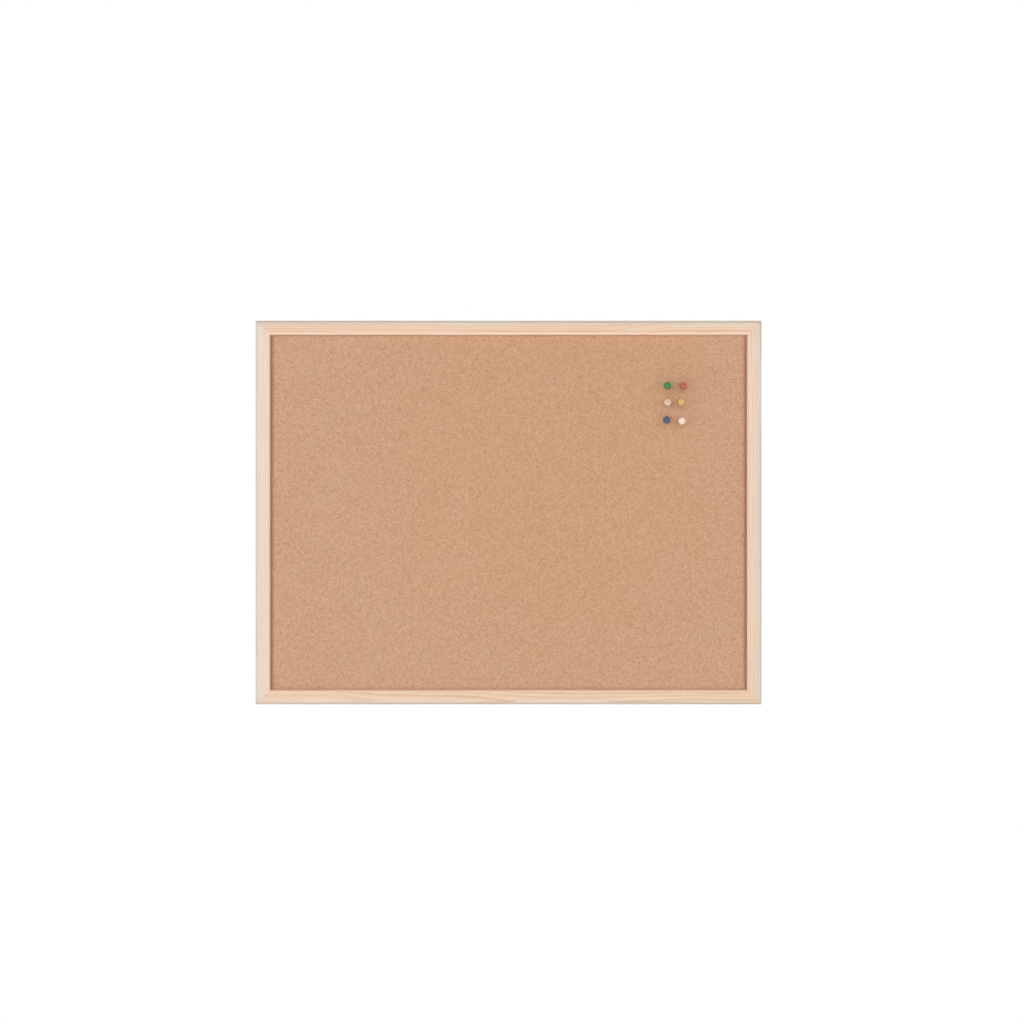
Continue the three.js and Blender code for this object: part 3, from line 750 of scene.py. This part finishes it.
def pine_material(side, rail):
    """Pine whose grain runs along the rail."""
    half = rail_reach(side) - rail.face_width / 2
    sign = 1 if side in ("top", "right") else -1
    if side in LEVEL_SIDES:
        mapping = {"Location": (0, 0, -BOARD_CENTRE.z - sign * half)}
    else:
        mapping = {"Rotation": (0, math.pi / 2, 0), "Location": (-BOARD_CENTRE.z, 0, sign * half)}
    values = {
        **PLAIN_CUT,
        **RAIL_CUTS[side],
        "Ring Spacing": rail.ring_spacing,
        "Inward": (1 if side in ("right", "bottom") else -1) / rail.face_width,
        "Early Wood": rail.early_wood,
        "Late Wood": rail.late_wood,
        "Sapwood": rail.sap_wood,
        "Rim Wood": rail.rim_wood,
        "Streak Wood": rail.streak_wood,
    }
    shader = {"Specular IOR Level": 0.45}
    return finished(f"Pine {side} rail", pine_grain, values, 0.35, 0.00008, shader, mapping)


def cork_material(cork, rail):
    values = {
        "Granule": cork.granule,
        "Pale": cork.pale,
        "Middle": cork.middle,
        "Dark": cork.dark,
        "Middle Point": Vector((BOARD_CENTRE.x + TAN_MIDDLE[0], 0, BOARD_CENTRE.z + TAN_MIDDLE[1])),
        "Blush Reach": Vector((TAN_SHARES[0] / BOARD_WIDTH, 0, TAN_SHARES[1] / BOARD_HEIGHT)),
        "Opening Point": BOARD_CENTRE,
        "Opening Reach": BOARD_WIDTH / 2 - rail.face_width,
        "Dust": cork.dust,
    }
    return finished("Pressed cork", cork_granules, values, 0.45, 0.00025, {"Specular IOR Level": 0.25})


def fibre_material(core):
    values = {"Pale": core.pale, "Dark": core.dark, "Weave": SCREEN_WEAVE}
    return finished("Soft fibreboard", pressed_fibre, values, 0.5, 0.0003, {"Specular IOR Level": 0.2})


def steel_material(name, metal, gloss, spangle):
    tarnish = Color([part * share for part, share in zip(metal, TARNISH_SHARES)])
    values = {"Metal": metal, "Tarnish": tarnish, "Gloss": gloss, "Spangle": spangle}
    return finished(name, plated_steel, values, 0.2, 0.00002, {"Metallic": 1.0})


def plastic_material(name, colour, transmission):
    flow = Color([min(1.0, part * FLOW_GAIN + FLOW_LIFT) for part in colour])
    shader = {"IOR": 1.49, "Transmission Weight": transmission}
    return finished(name, moulded_plastic, {"Plastic": colour, "Flow": flow}, 0.12, 0.00005, shader)


# Stage

# Each lamp's name, setting, degrees to the right and up from straight in front, distance and size
LAMPS = (
    ("Left lamp", "left_level", -52, 4, 2.6, (1.5, 3.0)),
    ("Right lamp", "right_level", 51, 4, 2.6, (1.6, 3.0)),
    ("Front lamp", "front_level", 0, 22, 2.6, (1.6, 0.8)),
    ("Low lamp", "low_level", -4, -45, 2.0, (1.0, 0.6)),
)
FLOOR_REACH = 2.4
FLOOR_MIDDLE_Y = -1.2
FLOOR_SIDES = 96
FLOOR_RINGS = 12
FLOOR_MIDDLE_SHARE = 0.02
FLOOR_TONES = ((0.80, 0.80, 0.80), (0.84, 0.84, 0.84))
FADE_SHARES = (0.5, 0.98)
BACKDROP_TURN = (-0.1, 0.4)
OUTLINE_DEPTH = 0.005
CLIP_START = 0.05
CLIP_END = 20


def placed(name, data, place):
    """Adds a lamp or camera to the scene."""
    holder = bpy.data.objects.new(name, data)
    bpy.context.scene.collection.objects.link(holder)
    holder.location = place
    return holder


def make_world(fill, back):
    """White where it is seen; where it lights, a soft fill with the paler backdrop behind the board."""
    world = bpy.data.worlds.new("Studio")
    bpy.context.scene.world = world
    world.use_nodes = True
    nodes = Nodes(world.node_tree)
    rays = nodes.add("ShaderNodeLightPath").outputs
    seen = nodes.math("MAXIMUM", rays["Is Camera Ray"], rays["Is Glossy Ray"])
    seen = nodes.math("MAXIMUM", seen, rays["Is Transmission Ray"])
    depth = nodes.parts(nodes.add("ShaderNodeTexCoord").outputs["Generated"])[1]
    light = nodes.fade(depth, *BACKDROP_TURN, fill, back)
    strength = nodes.add("ShaderNodeMapRange", {0: seen, 3: light, 4: 1.0}).outputs[0]
    sky = nodes.add("ShaderNodeBackground", {"Color": WHITE, "Strength": strength})
    nodes.show(sky, "ShaderNodeOutputWorld")


def make_floor(drop):
    """A pale round floor that keeps the board's shadow and fades into the white behind it."""
    centre = Vector((0, FLOOR_MIDDLE_Y, BOARD_LOW.z - drop))
    turns = turns_round(FLOOR_SIDES)
    reaches = FLOOR_REACH * np.linspace(FLOOR_MIDDLE_SHARE, 1, FLOOR_RINGS)
    vertices, faces = skinned([round_ring(reach, turns, 0) + np.array(centre) for reach in reaches])
    floor = new_object("studio_floor", (vertices, faces[:-1]))
    material, nodes = new_material("Studio floor")
    place = nodes.add("ShaderNodeTexCoord").outputs["Object"]
    apart = nodes.add("ShaderNodeVectorMath", {0: place, 1: centre}, operation="DISTANCE").outputs["Value"]
    speckle = nodes.noise(place, 60.0, 3.0, 0.5)
    tone = nodes.mixed(speckle, *FLOOR_TONES)
    feeds = {"Base Color": tone, "Roughness": 0.9, "Specular IOR Level": 0.1}
    lit = nodes.add("ShaderNodeBsdfPrincipled", feeds)
    white = nodes.add("ShaderNodeEmission", {"Color": WHITE, "Strength": 1.0})
    camera_ray = nodes.add("ShaderNodeLightPath").outputs["Is Camera Ray"]
    start, end = (share * FLOOR_REACH for share in FADE_SHARES)
    fading = nodes.times(nodes.fade(apart, start, end), camera_ray)
    nodes.show(nodes.add("ShaderNodeMixShader", {0: fading, 1: lit.outputs[0], 2: white.outputs[0]}))
    floor.data.materials.append(material)


def make_lamp(name, level, right_deg, up_deg, distance, size):
    """A soft area lamp that gives the cork's front the share of light named by level."""
    right, up = math.radians(right_deg), math.radians(up_deg)
    direction = Vector((math.sin(right) * math.cos(up), -math.cos(right) * math.cos(up), math.sin(up)))
    lamp = bpy.data.lights.new(name, "AREA")
    lamp.shape = "RECTANGLE"
    lamp.size, lamp.size_y = size
    lamp.energy = level * (math.pi * distance) ** 2 / -direction.y
    holder = placed(name, lamp, Vector((0, FRONT_Y, BOARD_CENTRE.z)) + direction * distance)
    holder.rotation_euler = (-direction).to_track_quat("-Z", "Y").to_euler()


def make_camera(stage):
    camera = bpy.data.cameras.new("Camera")
    camera.lens = camera.sensor_width * stage.camera_distance / stage.view_width
    camera.clip_start = CLIP_START
    camera.clip_end = CLIP_END
    depth = FRONT_Y + OUTLINE_DEPTH - stage.camera_distance
    holder = placed("Camera", camera, (stage.camera_side, depth, BOARD_CENTRE.z + stage.camera_rise))
    holder.rotation_euler = (math.pi / 2, 0, 0)
    bpy.context.scene.camera = holder


# Frame rails

FACET = 0.0018
WAVE_HEIGHT = 0.00003
WAVE_SEED = 11


def moulding_outline(rail):
    """Section of the moulding as (depth y, distance from the outer side)."""
    front = FRONT_Y
    bead_y = front + rail.bead_radius
    bead_in = rail.face_width - rail.bead_radius
    quirk = math.degrees(math.acos((rail.bead_radius - rail.quirk_depth) / rail.bead_radius))
    bead = arc((bead_y, bead_in), rail.bead_radius, 180 + quirk, 90, 18)
    wall = rail.face_width - rail.lip_overlap
    outline = [
        (-rail.back_arris, 0),
        *arc((front + rail.outer_fillet, rail.outer_fillet), rail.outer_fillet, 270, 180, 16),
        (front, bead[0][1] - rail.quirk_width),
        *bead,
        (front + rail.lip_thickness, rail.face_width),
        (front + rail.lip_thickness, wall),
        (0, wall),
        (0, rail.back_arris),
    ]
    return spaced(softened(outline, rail.sanding), FACET)


def turned_to(side, x, z):
    """X and Z of a point in the axes of a rail, X along it and Z inwards, turned to the board's axes."""
    turn = math.radians({"bottom": 0, "right": -90, "top": 180, "left": 90}[side])
    return x * math.cos(turn) + z * math.sin(turn), z * math.cos(turn) - x * math.sin(turn)


def rail_solid(side, rail):
    outline = np.array(moulding_outline(rail))
    length = BOARD_WIDTH if side in LEVEL_SIDES else BOARD_HEIGHT
    outward = unit(outline - inset(outline, 1.0))
    rough = np.random.default_rng(SIDES.index(side) + WAVE_SEED)
    steps = rail.steps // COARSENING
    waves = blurred(rough.normal(size=(steps + 1, len(outline))), 3) * WAVE_HEIGHT
    waves[0] = waves[-1] = 0
    half = length / 2 - outline[:, 1] - rail.joint_gap
    rings = []
    for share, wave in zip(np.linspace(-1, 1, steps + 1), waves):
        moved = outline + outward * wave[:, None]
        x, z = turned_to(side, share * half, moved[:, 1] - rail_reach(side))
        rings.append(np.stack([x, moved[:, 0], z + BOARD_CENTRE.z], 1))
    return skinned(rings)


def nail_outline(node, thickness, grow):
    """V-shaped outline of a corner nail in X and Z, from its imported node's box."""
    low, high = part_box(node)
    sign_x = 1 if low.x < 0 else -1
    sign_z = 1 if low.z < BOARD_CENTRE.z else -1
    near_x, far_x = (low.x, high.x) if sign_x > 0 else (high.x, low.x)
    near_z, far_z = (low.z, high.z) if sign_z > 0 else (high.z, low.z)
    x0, x1 = near_x - sign_x * grow, far_x + sign_x * grow
    z0, z1 = near_z - sign_z * grow, far_z + sign_z * grow
    bar_x = near_x + sign_x * (thickness + grow)
    bar_z = near_z + sign_z * (thickness + grow)
    return [(x0, z0), (x1, z0), (x1, bar_z), (bar_x, bar_z), (bar_x, z1), (x0, z1)]


def point_outline(node, grow):
    """Arrow-headed outline of a retaining point in X and Z, its tip in the rail."""
    low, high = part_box(node)
    side = node.split("_")[2]
    middle = (low + high) / 2
    width, height = high.x - low.x, high.z - low.z
    along, inward = (width, height) if side in LEVEL_SIDES else (height, width)
    half_along = along / 2 + grow
    half_in = inward / 2 + grow
    own = [
        (0, -half_in),
        (half_along, -half_in + half_along),
        (half_along, half_in),
        (-half_along, half_in),
        (-half_along, -half_in + half_along),
    ]
    turned_points = [turned_to(side, x, z) for x, z in own]
    return [(middle.x + x, middle.z + z) for x, z in turned_points]


def prism(outline, low, high):
    return skinned([[(x, y, z) for x, z in outline] for y in (low, high)])


def rail_cutters(side, fixings, hangers):
    """The slits that driven steel leaves in a rail, and the hanger screw's hole."""
    slit = fixings.slit
    cutters = []
    for node in nodes_named("corner_nail"):
        if side in node.split("_")[2:4]:
            outline = nail_outline(node, fixings.nail_thickness, slit)
            cutters.append(prism(outline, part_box(node)[0].y - slit, CUT_OVERRUN))
    for node in nodes_named(f"retaining_point_{side}"):
        low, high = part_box(node)
        cutters.append(prism(point_outline(node, slit), low.y - slit, high.y + slit))
    if side not in LEVEL_SIDES:
        low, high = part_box(f"hanger_screw_{side}")
        middle = (low + high) / 2
        radius = hangers.shank_diameter / 2 + slit
        cutters.append(peg(radius, low.y - slit, CUT_OVERRUN, middle.x, middle.z))
    return cutters


def build_rails(rail, fixings, hangers):
    for side in SIDES:
        made = new_object(f"rail_{side}", rail_solid(side, rail))
        carve(made, rail_cutters(side, fixings, hangers))
        finish_piece(made, pine_material(side, rail), "board", f"frame_rail_{side}")


# Cork and backing board

CORK_SEED = 5
CORE_SEED = 8
PIT_SHARE = 0.008
PIT_DEPTH = 2.0
MOUTH_PLAY = 0.00008
TIP_SPACE = 0.0002

# The needle holes' torn mouths: share of the hole's radius, and depth below the cork's face
MOUTH = ((1, 0.0008), (1.5, 0.0001), (2.1, -CUT_OVERRUN))


def cork_relief(columns, rows):
    """Pressed granules, broad swells and a few pits."""
    rough = np.random.default_rng(CORK_SEED)
    grains = rough.normal(size=(columns, rows)).clip(-2, 2) / 2
    swells = blurred(rough.normal(size=(columns, rows)), 6)
    pits = (rough.random((columns, rows)) > 1 - PIT_SHARE) * -PIT_DEPTH
    return 0.7 * grains + 0.8 * swells + pits


def core_relief(columns, rows):
    """Matted fibres and broad swells."""
    rough = np.random.default_rng(CORE_SEED)
    grains = blurred(rough.normal(size=(columns, rows)), 1)
    swells = blurred(rough.normal(size=(columns, rows)), 14)
    return 0.5 * grains + swells


def pin_centre(colour):
    low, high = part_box(f"pin_needle_{colour}")
    return (low + high) / 2


def needle_mouths(pins, deepest):
    """Cutters for the holes that the needles make, a little torn open at the surface."""
    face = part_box("cork_sheet")[0].y
    radius = pins.needle_diameter / 2 + MOUTH_PLAY
    profile = [(radius, -deepest)]
    profile += [(radius * share, -face - depth) for share, depth in MOUTH]
    centres = [pin_centre(colour) for colour in PIN_COLOURS]
    return [skinned(stood(turned(profile, 24), (centre.x, 0, centre.z))) for centre in centres]


def build_cork(cork, rail, pins):
    low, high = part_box("cork_sheet")
    made = new_object("cork", slab(low, high, cork.cell * COARSENING, cork_relief, cork.relief, -1))
    carve(made, needle_mouths(pins, high.y + CUT_OVERRUN))
    finish_piece(made, cork_material(cork, rail), "board", "cork_sheet", MATTE_ANGLE)


def build_core(core, pins):
    low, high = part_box("backing_board")
    made = new_object("core_board", slab(low, high, core.cell * COARSENING, core_relief, core.relief, 1))
    carve(made, needle_mouths(pins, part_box("pin_needle_green")[1].y + TIP_SPACE))
    finish_piece(made, fibre_material(core), "board", "backing_board", MATTE_ANGLE)


# Nails, points and hangers

NAIL_CORNER = 0.0004
NAIL_RIM = 0.00006
GROUND_HEIGHT = 0.0012
GROUND_WIDTH = 0.0002
POINT_CORNER = 0.0005
POINT_RIM = 0.00007
STRAP_SLACK = 0.00004
STRAP_EDGE = 0.0001
HEAD_EDGE = 0.00015
BUTT_BEVEL = 0.00006
BUTT_SHARE = 0.8
CORE_SHARE = 0.72

# The screw: its thread and tapered tip, and where the thread ends and the neck starts under its head
THREAD_PITCH = 0.0013
TAPER = 0.0026
TIP_SHARE = 0.03
THREAD_TOP = -0.0006
NECK = -0.0002

# The screw's cross recess: height from the head's top, half length and half width, and its turn
RECESS = ((-0.0011, 0.0009, 0.00026), (0.0004, 0.0017, 0.0004))
RECESS_TURN = 0.3


def build_fixings(fixings):
    steel = steel_material("Driven steel", fixings.steel, gloss=0.3, spangle=0.0012)
    for node in nodes_named("corner_nail"):
        low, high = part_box(node)
        outline = softened(nail_outline(node, fixings.nail_thickness, 0), NAIL_CORNER)
        back = plate(outline, low.y, high.y, NAIL_RIM)[len(RIM_SHARES) :]
        sharp = [(x, low.y, z) for x, z in inset(outline, GROUND_WIDTH)]
        ground = [(x, low.y + GROUND_HEIGHT, z) for x, z in outline]
        made = new_object(node.replace("corner_", ""), skinned([sharp, ground, *back]))
        finish_piece(made, steel, "board", node)
    for node in nodes_named("retaining_point"):
        low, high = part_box(node)
        rings = plate(softened(point_outline(node, 0), POINT_CORNER), low.y, high.y, POINT_RIM)
        made = new_object(node.replace("retaining_", ""), skinned(rings))
        finish_piece(made, steel, "board", node)


def hinge_place(side):
    return Vector(JOINTS[f"ring_{side}_swing"]["pos_m"])


def strip_outline(hanger, lower_end):
    """Section of the strap in Y and Z from the hinge line: up the wood, round the wire, and down."""
    sheet = hanger.strap_sheet
    eye = hanger.wire / 2 + hanger.clearance + sheet / 2
    under = -eye
    over = under + sheet
    tuck = eye + over
    tuck_centre = (over + tuck, -math.sqrt((eye + tuck) ** 2 - (over + tuck) ** 2))
    meet = math.degrees(math.atan2(-tuck_centre[1], -tuck_centre[0]))
    return [
        (under, lower_end),
        (under, -eye),
        *arc((0, 0), eye, 180, -90, 40),
        *arc(tuck_centre, tuck, meet, 180, 12)[1:],
        (over, lower_end),
    ]


def directions(path):
    """Unit directions along a line of points, and to the left of it."""
    along = unit(np.gradient(path, axis=0))
    return along, np.stack([-along[:, 1], along[:, 0]], 1)


def ribbon(middle, thickness):
    """Closed outline of a strip that follows a line of points."""
    points = np.array(middle)
    side = directions(points)[1] * thickness / 2
    return np.concatenate([points + side, (points - side)[::-1]])


def build_strap(side, hanger, zinc):
    place = hinge_place(side)
    half = hanger.strap_width / 2
    rings = []
    for turn in np.linspace(0, math.pi, 25):
        across = -half * math.cos(turn)
        lower_end = -hanger.screw_drop - half * math.sin(turn)
        section = ribbon(strip_outline(hanger, lower_end), hanger.strap_sheet - STRAP_SLACK)
        rings.append([(place.x + across, place.y + y, place.z + z) for y, z in section])
    made = new_object(f"strap_{side}", skinned(rings))
    hole = hanger.shank_diameter / 2 + hanger.clearance
    carve(made, [peg(hole, -CUT_OVERRUN, place.y, place.x, place.z - hanger.screw_drop, 48)])
    soften(made, STRAP_EDGE)
    finish_piece(made, zinc, "board", f"hanger_strap_{side}")


def screw_rings(hanger, sides=64):
    """Rings of the screw from its tip, through its thread, to the top of its pan head."""
    radius = hanger.shank_diameter / 2
    core = radius * CORE_SHARE
    turns = turns_round(sides)
    rings = []
    for height in np.linspace(-hanger.screw_length, THREAD_TOP, 100):
        taper = min(1.0, (height + hanger.screw_length) / TAPER + TIP_SHARE)
        phase = (height / THREAD_PITCH + turns / (2 * math.pi)) % 1
        ridge = np.clip(1 - np.abs(phase - 0.5) * 4, 0, 1)
        rings.append(round_ring((core + (radius - core) * ridge) * taper, turns, height))
    head = hanger.head_diameter / 2
    rim = hanger.head_height / 2
    profile = [(core, NECK), (core, 0), (head - HEAD_EDGE, 0), (head, HEAD_EDGE)]
    profile += arc((0, rim), (head, rim), 0, 88, 20)
    return np.concatenate([rings, turned(profile, sides)])


def recess_cutters(hanger, place):
    """The cross recess in the screw's head, narrower at its bottom."""
    cutters = []
    for turn in (RECESS_TURN, RECESS_TURN + math.pi / 2):
        rings = []
        for height, long, wide in RECESS:
            corners = np.array([(long, wide), (-long, wide), (-long, -wide), (long, -wide)])
            x = corners[:, 0] * math.cos(turn) - corners[:, 1] * math.sin(turn)
            y = corners[:, 0] * math.sin(turn) + corners[:, 1] * math.cos(turn)
            rings.append(np.stack([x, y, np.full(4, hanger.head_height + height)], 1))
        cutters.append(skinned(stood(rings, place, -1)))
    return cutters


def build_screw(side, hanger, zinc):
    hinge = hinge_place(side)
    seat_y = hinge.y - hanger.wire / 2 - hanger.clearance + hanger.strap_sheet
    place = (hinge.x, seat_y, hinge.z - hanger.screw_drop)
    made = new_object(f"screw_{side}", skinned(stood(screw_rings(hanger), place, -1)))
    carve(made, recess_cutters(hanger, place))
    finish_piece(made, zinc, "board", f"hanger_screw_{side}")


def ring_path(hanger):
    """Centre line of the D-shaped ring in X and Z, from one butt end on the bar to the other."""
    bend = hanger.ring_bend
    straight = hanger.strap_width / 2 + hanger.clearance
    butt = hanger.butt_gap / 2
    return np.array([
        (butt, 0),
        (straight / 2, 0),
        *arc((straight, bend), bend, -90, 0, 14),
        *arc((0, hanger.ring_shoulder), straight + bend, 0, 180, 72),
        *arc((-straight, bend), bend, 180, 270, 14),
        (-straight / 2, 0),
        (-butt, 0),
    ])


def build_ring(side, hanger, zinc, sides=28):
    path = ring_path(hanger)
    along, across = directions(path)
    radius = hanger.wire / 2
    place = hinge_place(side)
    lean = math.asin((place.y - radius - hanger.clearance) / path[:, 1].max())
    turns = turns_round(sides)
    last = len(path) - 1

    # Point of the path, slip along it and share of the wire's radius of each ring: the butts are bevelled
    stations = [(0, 0, BUTT_SHARE), (0, BUTT_BEVEL, 1)]
    stations += [(i, 0, 1) for i in range(1, last)]
    stations += [(last, -BUTT_BEVEL, 1), (last, 0, BUTT_SHARE)]
    rings = []
    for i, slip, share in stations:
        flat = path[i] + along[i] * slip + np.outer(np.cos(turns) * radius * share, across[i])
        y = np.sin(turns) * radius * share
        z = flat[:, 1]
        swung_y = y * math.cos(lean) - z * math.sin(lean)
        swung_z = y * math.sin(lean) + z * math.cos(lean)
        rings.append(np.stack([flat[:, 0], swung_y, swung_z], 1) + np.array(place))
    made = new_object(f"ring_{side}", skinned(rings))
    finish_piece(made, zinc, f"ring_{side}", f"hanger_ring_{side}")


def build_hangers(hanger):
    zinc = steel_material("Zinc plate", hanger.zinc, gloss=0.22, spangle=0.0016)
    wire = steel_material("Zinc wire", hanger.zinc, gloss=0.16, spangle=0.004)
    for side in ("left", "right"):
        build_strap(side, hanger, zinc)
        build_screw(side, hanger, zinc)
        build_ring(side, hanger, wire)


# Push pins

SOCKET_PLAY = 0.00004
SOCKET_BEVEL = 0.00015
SEAM = 0.00002
NEEDLE_EDGE = 0.0001
NEEDLE_POINT = 0.0026
POINT_POWER = 1.3

# The gate mark in the grip's top: radius and depth
GATE_MARK = ((0.0012, 0.00012), (0.0009, 0.00016), (0.0008, 0.0003), (0.00009, 0.00032))
DISH_SHARE = 0.8
DISH_DEPTH = 0.00004


def head_profile(pins, height, socket):
    """Radius against height: socket, flange, sweep, waist, flare, grip and the gate mark on top."""
    rim = pins.flange_thickness / 2
    flange = pins.flange_diameter / 2 - rim
    waist = pins.waist_diameter / 2
    edge = pins.grip_edge
    grip = pins.grip_diameter / 2 - edge
    grip_base = height - pins.grip_height
    sweep_top = pins.flange_thickness + pins.sweep_rise
    flare_base = grip_base - pins.flare_rise
    hole = pins.needle_diameter / 2 + SOCKET_PLAY
    return [
        (hole / 10, socket),
        (hole, socket),
        (hole, SOCKET_BEVEL),
        (hole + SOCKET_BEVEL, 0),
        *arc((flange, rim), rim, -90, 90, 16),
        *arc((flange, sweep_top), (flange - waist, pins.sweep_rise), 270, 180, 18)[1:],
        *arc((grip, flare_base), (grip - waist, pins.flare_rise), 180, 90, 14),
        *arc((grip, grip_base + edge), edge, -90, 0, 10)[1:],
        *arc((grip, height - edge), edge, 0, 90, 12),
        (grip * DISH_SHARE, height - DISH_DEPTH),
        *[(radius, height - depth) for radius, depth in GATE_MARK],
    ]


def needle_profile(pins, length, buried):
    radius = pins.needle_diameter / 2
    shares = np.linspace(0.04, 1, 10)
    tip = [(radius * share, -length + NEEDLE_POINT * share**POINT_POWER) for share in shares]
    return [*tip, (radius, buried - NEEDLE_EDGE), (radius - NEEDLE_EDGE, buried)]


def build_pins(pins):
    steel = steel_material("Needle steel", pins.needle, gloss=0.1, spangle=0.02)
    for colour in PIN_COLOURS:
        low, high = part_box(f"pin_head_{colour}")
        centre = pin_centre(colour)
        place = (centre.x, high.y, centre.z)
        needle_low, needle_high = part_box(f"pin_needle_{colour}")
        buried = high.y - needle_low.y
        profile = head_profile(pins, high.y - low.y, buried + NEEDLE_EDGE)
        rings = stood(turned(profile, pins.sides // COARSENING, SEAM), place)
        made = new_object(f"head_{colour}", skinned(rings))
        transmission = pins.transmission if colour == "clear" else 0.0
        plastic = plastic_material(f"Plastic {colour}", getattr(pins, colour), transmission)
        finish_piece(made, plastic, f"pin_{colour}", f"pin_head_{colour}")
        profile = needle_profile(pins, needle_high.y - high.y, buried)
        made = new_object(f"needle_{colour}", skinned(stood(turned(profile, 32), place)))
        finish_piece(made, steel, f"pin_{colour}", f"pin_needle_{colour}")


# Operators


class CORKBOARD_OT_stage(bpy.types.Operator):
    """Set up the floor, the white surroundings, the four soft lamps and the camera"""

    bl_idname = "corkboard.stage"
    bl_label = "Stage"

    def execute(self, context):
        stage = context.scene.cork_stage
        context.scene.view_settings.view_transform = "Standard"
        make_world(stage.fill_level, stage.back_level)
        make_floor(stage.floor_drop)
        for name, level, *place_and_size in LAMPS:
            make_lamp(name, getattr(stage, level), *place_and_size)
        make_camera(stage)
        return {"FINISHED"}


class CORKBOARD_OT_frame_rails(bpy.types.Operator):
    """Build the four mitred pine rails with the slits of their fixings"""

    bl_idname = "corkboard.frame_rails"
    bl_label = "Frame Rails"

    def execute(self, context):
        scene = context.scene
        build_rails(scene.cork_rails, scene.cork_fixings, scene.cork_hangers)
        return {"FINISHED"}


class CORKBOARD_OT_cork_sheet(bpy.types.Operator):
    """Build the pressed cork sheet with its granules and needle holes"""

    bl_idname = "corkboard.cork_sheet"
    bl_label = "Cork Sheet"

    def execute(self, context):
        scene = context.scene
        build_cork(scene.cork_sheet, scene.cork_rails, scene.cork_pins)
        return {"FINISHED"}


class CORKBOARD_OT_backing_board(bpy.types.Operator):
    """Build the soft fibreboard behind the cork"""

    bl_idname = "corkboard.backing_board"
    bl_label = "Backing Board"

    def execute(self, context):
        build_core(context.scene.cork_core, context.scene.cork_pins)
        return {"FINISHED"}


class CORKBOARD_OT_fixings(bpy.types.Operator):
    """Build the corner nails and the retaining points"""

    bl_idname = "corkboard.fixings"
    bl_label = "Nails and Points"

    def execute(self, context):
        build_fixings(context.scene.cork_fixings)
        return {"FINISHED"}


class CORKBOARD_OT_hangers(bpy.types.Operator):
    """Build the two strap hangers with their screws and rings"""

    bl_idname = "corkboard.hangers"
    bl_label = "Hangers"

    def execute(self, context):
        build_hangers(context.scene.cork_hangers)
        return {"FINISHED"}


class CORKBOARD_OT_push_pins(bpy.types.Operator):
    """Build the six push pins and their needles"""

    bl_idname = "corkboard.push_pins"
    bl_label = "Push Pins"

    def execute(self, context):
        build_pins(context.scene.cork_pins)
        return {"FINISHED"}


# Each step's place in the scene's settings, its settings and its operator
STEPS = (
    ("cork_stage", StageSettings, CORKBOARD_OT_stage),
    ("cork_rails", RailSettings, CORKBOARD_OT_frame_rails),
    ("cork_sheet", CorkSettings, CORKBOARD_OT_cork_sheet),
    ("cork_core", CoreSettings, CORKBOARD_OT_backing_board),
    ("cork_fixings", FixingSettings, CORKBOARD_OT_fixings),
    ("cork_hangers", HangerSettings, CORKBOARD_OT_hangers),
    ("cork_pins", PinSettings, CORKBOARD_OT_push_pins),
)


class CORKBOARD_PT_panel(bpy.types.Panel):
    """Lists each step with its settings"""

    bl_idname = "CORKBOARD_PT_panel"
    bl_label = "Cork Board"
    bl_space_type = "VIEW_3D"
    bl_region_type = "UI"
    bl_category = "Cork Board"

    def draw(self, context):
        for key, settings, operator in STEPS:
            box = self.layout.box()
            box.operator(operator.bl_idname)
            for name in settings.__annotations__:
                box.prop(getattr(context.scene, key), name)


def register():
    for key, settings, operator in STEPS:
        bpy.utils.register_class(settings)
        bpy.utils.register_class(operator)
        setattr(bpy.types.Scene, key, PointerProperty(type=settings))
    bpy.utils.register_class(CORKBOARD_PT_panel)


def unregister():
    bpy.utils.unregister_class(CORKBOARD_PT_panel)
    for key, settings, operator in reversed(STEPS):
        delattr(bpy.types.Scene, key)
        bpy.utils.unregister_class(operator)
        bpy.utils.unregister_class(settings)


def main():
    register()
    bpy.ops.corkboard.stage()
    bpy.ops.corkboard.frame_rails()
    bpy.ops.corkboard.cork_sheet()
    bpy.ops.corkboard.backing_board()
    bpy.ops.corkboard.fixings()
    bpy.ops.corkboard.hangers()
    bpy.ops.corkboard.push_pins()


if __name__ == "__main__":
    main()
